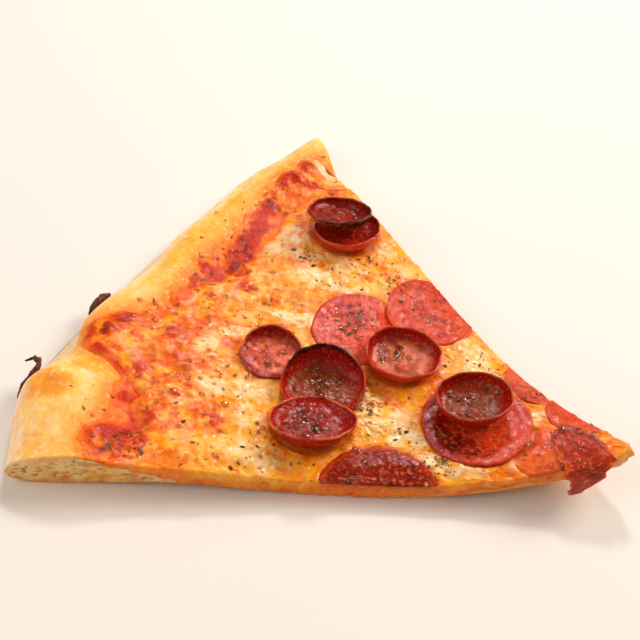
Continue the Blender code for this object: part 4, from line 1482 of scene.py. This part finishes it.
@dataclass
class CheeseLayer:
    """The melted cheese: lumpy, blistered, pressed in under the sausage, and run down at the cuts."""

    form: SliceForm
    ovals: dict[str, Footprint]
    lines: int = 290
    top_columns: int = 255
    side_columns: int = 12
    bottom_columns: int = 46
    raggedness: float = 2.4
    run_down: Pairs = (
        (0, 1.6), (30, 2.2), (60, 2.2), (84, 3.2), (95, 5.2), (118, 6.4), (140, 6.0), (150, 3.0),
        (158, 0.6), (170, 0.2),
    )
    bulge: float = 1.1
    bulge_far: float = 0.5
    thinned: float = 0.55
    thinned_between: Span = (172.0, 184.0)
    lumps: Lumps = Lumps(11.0, 0.75, 701)
    small_lumps: Lumps = Lumps(4.6, 0.34, 711)
    bubble_size: float = 3.9
    feather_run: float = 6.0
    nose_run: float = 2.5
    nose_drop: float = 3.2
    grease: str = "#ff9600"
    dark_grease: str = "#d85a00"

    def pressed(self, x: Array, y: Array) -> tuple[Array, Array]:
        """How far each place is under the sausage, and the swell of cheese round it, in mm."""
        under, swell = np.zeros(np.shape(x)), np.zeros(np.shape(x))
        for oval in self.ovals.values():
            distance = oval.edge_distance(x, y)
            under = np.maximum(under, 1 - ease(distance, -1.6, 0.4))
            swell = np.maximum(swell, 0.5 * np.exp(-(((distance - 1.0) / 1.5) ** 2)))
        return under, swell

    def relief(self, x: Array, y: Array) -> Array:
        """Height of the cheese's lumps over its smooth form, in mm."""
        under, swell = self.pressed(x, y)
        domes, _ = LOOK.domes(x, y)
        pale = LOOK.cover(LOOK.pale, x, y)
        lumps = self.lumps.at(x, y) + self.small_lumps.at(x, y) + 0.1 * grain(x, y, 1.8, 721)
        small, size = cells(*LOOK.warped(x, y), self.bubble_size, 741)
        bubbles = 0.6 * ease(small, 0.5, 0.05) * ease(size, 0.45, 0.8)
        free = lumps * (1 - 0.35 * pale) + 0.4 * LOOK.strands(x, y) + bubbles + domes + 0.35 * pale
        return (free + swell) * (1 - 0.9 * under) - 0.35 * under

    def build(self) -> Piece:
        """Build the cheese's mesh and dress it."""
        form = self.form
        line = np.linspace(0, 1, self.lines)[:, None]
        down = np.linspace(0, 1, self.side_columns + 1)[1:]
        sweep = np.concatenate([
            np.linspace(1, -1, self.top_columns), np.full(self.side_columns, -1.0),
            np.linspace(-1, 1, self.bottom_columns), np.full(self.side_columns, 1.0),
        ])[None, :]
        side = np.concatenate([
            np.zeros(self.top_columns), down, np.zeros(self.bottom_columns), down[::-1],
        ])[None, :]
        below = np.concatenate([
            np.zeros(self.top_columns + self.side_columns), np.ones(self.bottom_columns),
            np.zeros(self.side_columns),
        ])[None, :]
        angle = form.half_angle * sweep + 0 * line
        tip = form.tip_radius * (1 + form.tip_rounding * sweep**2) - 1.2
        arc = angle * 3.1
        edge = smooth_between(form.cheese_edge, angle) + self.raggedness * layered(arc, 0 * arc, 7.0, 751)
        radius = tip + (edge - tip) * line
        x, y = form.plan(radius, angle)
        bed = form.dough_top(radius, angle) + DoughBase(form).relief(x, y, form.rim_share(radius, angle))
        from_edge = edge_distance(form, edge, radius, angle)
        feather = np.sqrt(np.clip(from_edge / self.feather_run, 0, 1))
        nose = np.sqrt(np.clip((radius - tip) / self.nose_run, 0, 1))
        full = form.cheese_top(radius, angle) + self.relief(x, y)
        over_rim = 1 - self.thinned * ease(radius, *self.thinned_between)
        top = bed - 0.1 + np.maximum((full - bed) * over_rim + 0.1, 0.3) * feather
        top = top - self.nose_drop * (1 - nose)
        near = sweep < 0
        bulge = np.where(near, self.bulge, self.bulge_far)
        bulge = bulge * (1 + 0.9 * layered(radius, 0 * radius, 5.0, 761))
        run = smooth_between(self.run_down, radius) * np.where(near, 1.0, 0.4)
        run = np.maximum(0.1, run * (1 + 0.55 * layered(radius, 9.0 * near + 0 * radius, 7.0, 771)))
        thickness = form.dough_top(radius, angle) - form.dough_bottom(radius, angle)
        run = np.minimum(run, np.maximum(0.3, thickness - 0.3))
        low = form.dough_top(radius, angle) - run
        tuck = ease(side, 0.82, 1.0)
        fall = np.sin(np.minimum(side, 0.85) / 0.85 * np.pi / 2) ** 1.3
        z_side = top + (low - top) * fall + 0.3 * tuck
        out = bulge * np.sin(np.clip(side, 0, 0.95) / 0.95 * np.pi) ** 0.6 - 0.6 * tuck
        out = np.where(side > 0, out, 0.0)
        wave = 0.8 * layered(radius, z_side, 3.2, 781) * np.where((side > 0) & (side < 0.9), 1.0, 0.0)
        turn = math.radians(form.half_angle)
        x = x - (out + wave) * math.sin(turn) * (side > 0)
        y = y + (out + wave) * np.sign(sweep) * math.cos(turn) * (side > 0)
        z = np.where(side > 0, z_side, top)
        z = np.where(below > 0, np.minimum(bed - 0.4, top - 0.3), z)
        tint = LOOK.tint(x, y)
        mottled = ease(layered(x, y, 6.0, 791, z), -0.3, 0.7)
        greasy = blend(self.grease, self.dark_grease, mottled)
        lower = ease(side, 0.1, 0.5)
        greasy = blend(greasy, Tone.DEEP_RED, 0.7 * ease(layered(radius, z, 3.0, 792), 0.25, 0.8))
        tint = blend(tint, greasy, 0.85 * lower)
        thin = 1 - ease(from_edge + layered(x, y, 3.0, 795), 0.5, 4.0)
        tint = blend(tint, Tone.ORANGE, 0.8 * thin)
        under, swell = self.pressed(x, y)
        oily = 0.45 * ease(swell, 0.15, 0.45) * (1 - LOOK.cover(LOOK.pale, x, y))
        tint = blend(tint, Tone.ORANGE, oily)
        tint = blend(tint, Tone.RED, 0.7 * under * (1 - 0.85 * lower))
        split = self.top_columns + self.side_columns
        loops = np.stack([x, y, z], -1)
        return lofted("cheese_melted", loops, tint, split, form.offset, MELTED_MOZZARELLA.material())


# ---- burnt bits


@dataclass
class BurntBit:
    """A shred of burnt dough or cheese on the outside of the rim, as a crumpled ribbon."""

    node: str
    path: tuple[tuple[float, float, float, float], ...]
    flatness: float = 0.55
    around: int = 16
    steps: int = 60
    seed: int = 1
    dark: str = "#33201a"
    light: str = "#8a4a2a"

    def build(self, form: SliceForm) -> Piece:
        """Build the bit's mesh and dress it."""
        at = np.linspace(0, len(self.path) - 1, self.steps)
        knots = np.arange(len(self.path))
        angle, outside, height, size = (np.interp(at, knots, column) for column in np.array(self.path).T)
        x, y = form.plan(smooth_between(form.rim_radius, angle) + outside, angle)
        centre = np.stack([x, y, height], -1)
        ahead = np.gradient(centre, axis=0)
        ahead /= np.linalg.norm(ahead, axis=1)[:, None]
        outward = np.stack([x, y, 0 * x], -1)
        outward /= np.linalg.norm(outward, axis=1)[:, None]
        across = np.cross(ahead, outward)
        across /= np.linalg.norm(across, axis=1)[:, None]
        outward = np.cross(across, ahead)
        turn = np.linspace(0, 2 * np.pi, self.around, endpoint=False)[None, :]
        rough = 1 + 0.35 * layered(at[:, None] * 2, turn * 2, 1.3, 800 + self.seed)
        wide = (size[:, None] * rough * np.cos(turn))[..., None]
        thick = (self.flatness * size[:, None] * rough * np.sin(turn))[..., None]
        points = centre[:, None, :] + across[:, None, :] * wide + outward[:, None, :] * thick
        across, along, up = np.moveaxis(points, -1, 0)
        tone = ease(layered(across, along, 2.0, 810 + self.seed, up), -0.4, 0.7)
        tint = blend(self.dark, self.light, tone)
        split = self.around // 2
        return lofted(self.node + "_charred", points, tint, split, form.offset, CHARRED_CRUST.material())


# ---- small things on top


class Surface:
    """What lies on top of the slice everywhere, for setting small things down on."""

    def __init__(self, pieces: list[Piece], offset: Array) -> None:
        """Gather the pieces' meshes into one search tree."""
        corners, faces, start = [], [], 0
        for piece in pieces:
            coordinates = np.empty(len(piece.data.vertices) * 3, np.float32)
            piece.data.vertices.foreach_get("co", coordinates)
            corners.extend(coordinates.reshape(-1, 3).tolist())
            faces.extend([[start + i for i in polygon.vertices] for polygon in piece.data.polygons])
            start = len(corners)
        self.tree = BVHTree.FromPolygons(corners, faces)
        self.offset = offset

    def at(self, x: float, y: float) -> tuple[float, Vector] | None:
        """Height in mm and slope of the top surface at a place, or None beside the slice."""
        start = Vector(((x + self.offset[0]) * MM, (y + self.offset[1]) * MM, RAY_HEIGHT))
        place, normal, _, _ = self.tree.ray_cast(start, Vector((0, 0, -1)))
        return None if place is None else (place.z / MM, normal)


@dataclass(frozen=True)
class Sprinkle:
    """A loose group of small things: middle, spread and how many."""

    x: float
    y: float
    spread: float
    count: int


def sprinkles(rows: tuple) -> tuple[Sprinkle, ...]:
    """Groups from rows of their values."""
    return tuple(Sprinkle(*row) for row in rows)


@dataclass
class OreganoFlakes:
    """Rubbed dried oregano: small bent chips, thick in places and sparse elsewhere."""

    groups: tuple[Sprinkle, ...] = sprinkles((
        (-112, 17, 7, 34), (-107, -14, 6, 26), (-91, 11, 5, 20), (-58, 3, 6, 26), (-104, -33, 6, 10),
        (-90, -13, 4, 16), (-57, -23, 5, 18), (-72, -18, 6, 14), (-64, 27, 9, 16), (-122, 51, 7, 12),
        (-108, 44, 5, 9), (-146, 40, 6, 12), (-135, 36, 9, 12), (-153, -78, 5, 7), (-145, -73, 4, 5),
        (-186, 28, 14, 7), (-176, 60, 6, 6), (-172, 20, 7, 8), (-125, -50, 22, 14), (-150, 0, 22, 22),
        (-150, -45, 22, 20), (-100, 43, 9, 14), (-90, 38, 8, 10), (-40, -10, 10, 9), (-52, -10, 8, 8),
        (-20, 14, 8, 7), (-98, -44, 3, 7), (-75, -42, 10, 10), (-160, 88, 10, 6), (-178, 72, 3, 4),
        (-43, 23, 6, 6), (-112, -58, 14, 8), (-168, 100, 6, 3), (-60, -12, 6, 6), (-46, 14, 4, 4),
    ))
    strewn: int = 130
    colours: tuple[str, ...] = ("#7a5c30", "#8a6c3a", "#5e3e1e", "#8f6a34", "#4a2c18", "#83592a", "#9c7440")
    length: Span = (0.25, 1.0)
    thickness: float = 0.14
    corners: int = 7
    per_count: int = 2
    strewn_radius: float = 192.0
    strewn_angle: float = 28.5
    least_level: float = 0.2

    def places(self, form: SliceForm, chance: np.random.Generator) -> Array:
        """Where the flakes fall, in plan."""
        spots = [
            chance.normal((g.x, g.y), g.spread * NARROWED, (self.per_count * g.count, 2))
            for g in self.groups
        ]
        radius = self.strewn_radius * np.sqrt(chance.uniform(0.01, 1, self.strewn))
        angle = chance.uniform(-self.strewn_angle, self.strewn_angle, self.strewn)
        return np.concatenate(spots + [np.stack(form.plan(radius, angle), -1)])

    def build(self, form: SliceForm, surface: Surface) -> Piece:
        """Build the flakes as one mesh and dress them."""
        chance = np.random.default_rng(7)
        count = self.corners
        outline = np.linspace(0, 2 * np.pi, count, endpoint=False)
        steps = [(i, (i + 1) % count) for i in range(count)]
        lower, last = count + 1, 2 * count + 1
        top = [[0, 1 + i, 1 + j] for i, j in steps]
        bottom = [[last, lower + j, lower + i] for i, j in steps]
        rim = [[1 + i, lower + i, lower + j] for i, j in steps]
        rim += [[1 + i, lower + j, 1 + j] for i, j in steps]
        shapes, middles, tints = [], [], []
        for x, y in self.places(form, chance):
            draws = chance.uniform(size=16)
            found = surface.at(x, y)
            if found is None or found[1].z < self.least_level:
                continue
            height, normal = found
            length = self.length[0] + (self.length[1] - self.length[0]) * draws[0] ** 1.8
            width = length * (0.28 + 0.4 * draws[1])
            jag = 1 + 0.7 * (draws[2 : 2 + count] - 0.5)
            u = length * np.cos(outline) * jag
            v = width * np.sin(outline) * jag
            bend = 0.25 * (draws[9] - 0.3) * u * u / max(length, 0.1)
            flat = np.concatenate([
                [[0, 0, self.thickness]], np.stack([u, v, bend + self.thickness / 2], -1),
                np.stack([u, v, bend - self.thickness / 2], -1), [[0, 0, -self.thickness]],
            ])
            lean = Vector((0, 0, 1)).rotation_difference(normal).to_matrix()
            spin = Matrix.Rotation(2 * math.pi * draws[10], 3, "Z")
            pitch = Matrix.Rotation(0.5 * (draws[11] - 0.5), 3, "X")
            shapes.append(flat @ np.array(lean @ spin @ pitch).T)
            middles.append((x, y, height + 0.12))
            colour = linear(self.colours[int(draws[12] * len(self.colours))])
            tints.append(np.tile(colour * (0.7 + 0.6 * draws[13]), (last + 1, 1)))
        points, faces = scattered(np.array(shapes), np.array(top + bottom + rim), np.array(middles))
        tint = np.concatenate(tints)
        piece = mesh_object("oregano_flakes", points, faces, tint, form.offset, DRIED_OREGANO.material())
        piece.data.shade_flat()
        return piece


@dataclass
class FatDrops:
    """Beads of rendered fat, flattened by their weight, on the sausage and the cheese."""

    groups: tuple[Sprinkle, ...] = sprinkles((
        (-113, 18, 7, 26), (-108, -14, 6, 26), (-93, 12, 5, 20), (-58, 4, 6, 26), (-103, -31, 6, 22),
        (-90, -13, 5, 16), (-88, 36, 8, 14), (-130, -14, 5, 10), (-52, -12, 7, 12), (-146, 60, 5, 14),
        (-70, -40, 8, 10), (-18, 0, 6, 12), (-57, -23, 4, 9), (-150, -40, 16, 30), (-150, 5, 16, 20),
        (-168, 25, 8, 16), (-152, -72, 6, 12), (-176, -20, 8, 10), (-165, 60, 8, 12), (-115, 48, 8, 12),
        (-30, -6, 6, 8), (-120, -45, 14, 12),
    ))
    radius: Span = (0.2, 1.3)
    around: int = 10
    rings: int = 4
    per_count: int = 3
    least_level: float = 0.5
    flatness: float = 0.36

    def build(self, form: SliceForm, surface: Surface) -> Piece:
        """Build the beads as one mesh and dress them."""
        chance = np.random.default_rng(11)
        turn = np.linspace(0, 2 * np.pi, self.around, endpoint=False)[None, :]
        rise = np.linspace(0, np.pi / 2, self.rings + 1)[1:][::-1, None]
        wide = np.sin(rise)
        dome = np.stack([wide * np.cos(turn), wide * np.sin(turn), np.cos(rise) + 0 * turn], -1)
        dome = dome[::-1].reshape(-1, 3)
        shape = np.concatenate([dome, [[0, 0, 1.0], [0, 0, -0.2]]])
        faces = []
        for face in disc_faces(self.rings, self.around):
            faces += [[face[0], face[i], face[i + 1]] for i in range(1, len(face) - 1)]
        shapes, middles = [], []
        for group in self.groups:
            spread = (self.per_count * group.count, 2)
            for x, y in chance.normal((group.x, group.y), group.spread * NARROWED, spread):
                draws = chance.uniform(size=3)
                found = surface.at(x, y)
                if found is None or found[1].z < self.least_level:
                    continue
                height, normal = found
                size = self.radius[0] + (self.radius[1] - self.radius[0]) * draws[0] ** 2.2
                lean = np.array(Vector((0, 0, 1)).rotation_difference(normal).to_matrix())
                stretch = np.array([size * (1 + 0.5 * draws[1]), size, size * self.flatness])
                shapes.append((shape * stretch) @ lean.T)
                middles.append((x, y, height - 0.05))
        points, triangles = scattered(np.array(shapes), np.array(faces), np.array(middles))
        tint = np.ones((len(points), 3))
        material = RenderedFat().material()
        return mesh_object("pepperoni_fat_drops", points, triangles, tint, form.offset, material)


# ---- studio


@dataclass(frozen=True)
class Lamp:
    """A square light that looks at the slice: place and side in metres, power in watts, colour."""

    name: str
    place: tuple[float, float, float]
    side: float
    power: float
    tone: str

    def hang(self) -> None:
        """Hang the light."""
        data = bpy.data.lights.new(self.name, "AREA")
        data.energy, data.size, data.color = self.power, self.side, tuple(linear(self.tone))
        light = bpy.data.objects.new(self.name, data)
        light.location = self.place
        light.rotation_euler = Vector(self.place).to_track_quat("Z", "Y").to_euler()
        bpy.context.scene.collection.objects.link(light)


@dataclass
class Studio:
    """A pale table, soft light from behind on the right, and the camera."""

    floor_half: float = 1.6
    floor_colour: str = "#e6e0da"
    target: Span = (-128.0, 19.4)
    azimuth: float = 26.7
    elevation: float = 47.1
    roll: float = 5.0
    distance: float = 391.0
    lens: float = 56.25
    sensor: float = 36.0
    nearest: float = 0.01
    floor_roughness: float = 0.6
    air_colour: str = "#ffecdc"
    air_strength: float = 0.4
    lamps: tuple[Lamp, ...] = (
        Lamp("window", (0.75, 1.34, 1.1), 0.8, 29.0, "#fff8ee"),
        Lamp("glint", (-0.35, 0.75, 0.85), 0.15, 5.0, "#ffffff"),
        Lamp("fill", (-0.6, -0.5, 0.6), 0.7, 3.4, "#fffaf4"),
    )

    def build_floor(self) -> None:
        """Build the table top."""
        bpy.ops.mesh.primitive_plane_add(size=2 * self.floor_half)
        floor = bpy.context.object
        floor.name = "table_top"
        material = bpy.data.materials.new("white_laminate")
        material.use_nodes = True
        shader = material.node_tree.nodes["Principled BSDF"]
        shader.inputs["Base Color"].default_value = (*linear(self.floor_colour), 1)
        shader.inputs["Roughness"].default_value = self.floor_roughness
        floor.data.materials.append(material)

    def build_lights(self) -> None:
        """Hang a soft key light, a small hard one for glints, and fill from in front and all round."""
        world = bpy.data.worlds.new("studio_fill")
        bpy.context.scene.world = world
        world.use_nodes = True
        background = world.node_tree.nodes["Background"]
        background.inputs[0].default_value = (*linear(self.air_colour), 1)
        background.inputs[1].default_value = self.air_strength
        for lamp in self.lamps:
            lamp.hang()

    def build_camera(self, offset: Array) -> None:
        """Set the camera up."""
        azimuth, elevation, roll = (math.radians(v) for v in (self.azimuth, self.elevation, self.roll))
        level = math.cos(elevation)
        back = Vector((math.sin(azimuth) * level, -math.cos(azimuth) * level, math.sin(elevation)))
        right = Vector((math.cos(azimuth), math.sin(azimuth), 0))
        turned = Matrix((right, back.cross(right), back)).transposed() @ Matrix.Rotation(roll, 3, "Z")
        target = Vector((self.target[0] + offset[0], self.target[1] + offset[1], 0))
        camera = bpy.data.objects.new("camera", bpy.data.cameras.new("camera"))
        camera.data.lens = self.lens
        camera.data.sensor_width = self.sensor
        camera.data.clip_start = self.nearest
        camera.matrix_world = Matrix.Translation((target + back * self.distance) * MM) @ turned.to_4x4()
        bpy.context.scene.collection.objects.link(camera)
        bpy.context.scene.camera = camera


# ---- the slice


FLATS: tuple[FlatPepperoni, ...] = (
    FlatPepperoni(
        "pepperoni_flat_middle", Footprint(-109.5, 16.0, 18.0, 18.0),
        SausageColours(face="#d84e18", patch="#b22808", lip="#c23808"), sunk=0.5,
        under=("pepperoni_flat_far_cut", "pepperoni_cup_middle", "pepperoni_cup_burnt_back"), seed=1,
    ),
    FlatPepperoni(
        "pepperoni_flat_far_cut", Footprint(-90.8, 39.8, 17.6, 17.6),
        SausageColours(face="#d85828", patch="#bc2e08", lip="#cc4814"), middle=(-92.0, 36.0), sunk=0.6,
        under=("pepperoni_cup_middle",), seed=2,
    ),
    FlatPepperoni(
        "pepperoni_flat_near_cut", Footprint(-67.5, -46.5, 21.7, 21.7),
        SausageColours(face="#861e06", patch="#400c04", lip="#cc4a10"),
        middle=(-70.0, -33.0), sunk=0.5, seed=3,
    ),
    FlatPepperoni(
        "pepperoni_flat_tip_near", Footprint(-29.5, -3.0, 10.5, 10.5),
        SausageColours(face="#e8783c", patch="#d85420", lip="#ee8428"), edge_lift=-0.1, sunk=0.7,
        under=("pepperoni_flat_large",), seed=4,
    ),
    FlatPepperoni(
        "pepperoni_flat_large", Footprint(-53.6, -1.3, 19.2, 19.2),
        # Painted light and shade: this slice's dark face is its shaded side and its bright patch its lit
        # side.
        SausageColours(face="#8c1206", patch="#d84c24", lip="#d04010"), edge_lift=0.7, painted_light_towards=5.0, seed=5,
    ),
    FlatPepperoni(
        "pepperoni_strip_far_cut", Footprint(-41.5, 29.5, 13.0, 13.0),
        SausageColours(face="#d6704e", patch="#c04e30", lip="#d0643c"), middle=(-43.0, 20.5), sunk=0.5,
        under=("pepperoni_flat_large", "pepperoni_flat_tip_far"), seed=6,
    ),
    FlatPepperoni(
        "pepperoni_flat_tip_far", Footprint(-24.5, 18.5, 10.8, 10.8),
        SausageColours(face="#cf5832", patch="#a42a10", lip="#dc6428"), middle=(-26.0, 14.5), sunk=0.5,
        under=("pepperoni_flat_tip_near",), seed=7,
    ),
)

CUPS: tuple[CupPepperoni, ...] = (
    CupPepperoni(
        "pepperoni_cup_lower", Footprint(-138.6, 58.6, 12.9, 12.9),
        SausageColours(face="#b02a12", patch="#94180a", wall="#b0220c", lip="#e07a54", outside="#d4502c"),
        high=6.0, low=0.4, towards=-25, seed=1,
    ),
    CupPepperoni(
        "pepperoni_cup_charred", Footprint(-143.6, 59.6, 12.2, 11.6, 50),
        SausageColours(face="#8c3020", patch="#701c10", wall="#8c0e06", lip="#b4826c", outside="#6a2012"),
        high=6.6, low=3.4, towards=0, falloff=1.2, char_towards=-22, char=0.95, char_depth=4.2,
        char_width=0.4, sunk=0.6, tilt=7.0, seed=2,
    ),
    CupPepperoni(
        "pepperoni_cup_folded", Footprint(-129.5, -14.0, 11.0, 10.4, 32),
        SausageColours(face="#da7048", patch="#c04a2a", wall="#8e1206", lip="#e69a70", outside="#b02a12"),
        high=4.6, low=0.2, towards=118, falloff=2.6, under=("pepperoni_cup_burnt_back",), seed=3,
    ),
    CupPepperoni(
        "pepperoni_cup_burnt_back", Footprint(-106.3, -17.0, 14.4, 13.0, 40),
        SausageColours(face="#84400e", patch="#8e2c0c", wall="#a01004", lip="#c8643e", outside="#a81404"),
        high=8.6, low=0.4, towards=125, falloff=1.4, char_towards=128, char=1.0, char_depth=2.2,
        char_width=0.3, jagged=0.5, under=("pepperoni_cup_front",), seed=4,
    ),
    CupPepperoni(
        "pepperoni_cup_front", Footprint(-101.3, -33.0, 14.5, 11.6, 34),
        SausageColours(face="#941804", patch="#5c0e02", wall="#9c1404", lip="#e68a62", outside="#a00c02"),
        high=8.4, low=1.2, towards=-58, falloff=1.2, seed=5,
    ),
    CupPepperoni(
        "pepperoni_cup_middle", Footprint(-88.4, 10.4, 13.5, 12.0, 31),
        SausageColours(face="#dc8654", patch="#a85424", wall="#a01004", lip="#c4603c", outside="#d23a0c"),
        high=5.8, low=4.4, towards=-105, seed=6,
    ),
    CupPepperoni(
        "pepperoni_cup_on_flat", Footprint(-57.3, 2.3, 12.7, 11.4, 30),
        SausageColours(face="#8a4210", patch="#9c380c", wall="#a01606", lip="#a8705c", outside="#9c1206"),
        high=6.8, low=4.6, towards=-60, seed=7,
    ),
)

BURNT: tuple[BurntBit, ...] = (
    BurntBit("burnt_curl", (
        (-20.9, 0.9, 3.4, 1.2), (-19.9, 1.2, 4.4, 1.7), (-18.8, 1.2, 6.2, 2.0), (-17.9, 1.2, 8.6, 1.8),
        (-17.4, 1.8, 10.8, 1.3), (-17.5, 3.2, 12.4, 0.9), (-18.0, 4.8, 11.8, 0.5),
    ), flatness=0.5, seed=1),
    BurntBit("burnt_flake", (
        (-8.9, 0.8, 5.6, 0.8), (-8.0, 1.2, 7.0, 2.0), (-6.8, 1.2, 7.8, 2.2), (-5.6, 0.8, 7.0, 0.9),
    ), flatness=0.45, seed=2),
)


def hand_in(piece: Piece, slot: str, *nodes: str) -> None:
    """Fix a piece to the slice, and hide the CAD nodes that it stands for.

    Args:
        piece: The finished piece.
        slot: Not used.
        nodes: The CAD nodes that it replaces.
    """
    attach(piece, "root")
    if nodes:
        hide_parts(*nodes)
    LOG.info("%s: %d faces", piece.name, len(piece.data.polygons))


def main() -> None:
    logging.basicConfig(level=logging.INFO, format="%(name)s: %(message)s")
    form = SliceForm()
    ovals = {piece.node: piece.oval for piece in FLATS + CUPS}
    studio = Studio()
    studio.build_camera(form.offset)
    studio.build_floor()
    studio.build_lights()

    dough = DoughBase(form).build()
    hand_in(dough, "dough", "dough")
    sauce = SauceLayer(form).build()
    hand_in(sauce, "sauce", "sauce")
    cheese = CheeseLayer(form, ovals).build()
    hand_in(cheese, "cheese", "cheese")
    laid = [dough, sauce, cheese]
    for flat in FLATS:
        laid.append(flat.build(form, ovals))
        hand_in(laid[-1], "pepperoni", flat.node)
    for cup in CUPS:
        laid.append(cup.build(form, ovals))
        hand_in(laid[-1], "pepperoni", cup.node)
    torn = TornPepperoni()
    laid.append(torn.build(form))
    hand_in(laid[-1], "pepperoni", torn.node)
    for bit in BURNT:
        hand_in(bit.build(form), "burnt_crust", bit.node)
    surface = Surface(laid, form.offset)
    hand_in(OreganoFlakes().build(form, surface), "cheese")
    hand_in(FatDrops().build(form, surface), "cheese")

    bpy.context.scene.view_settings.view_transform = "Standard"
    bpy.context.view_layer.update()


if __name__ == "__main__":
    main()
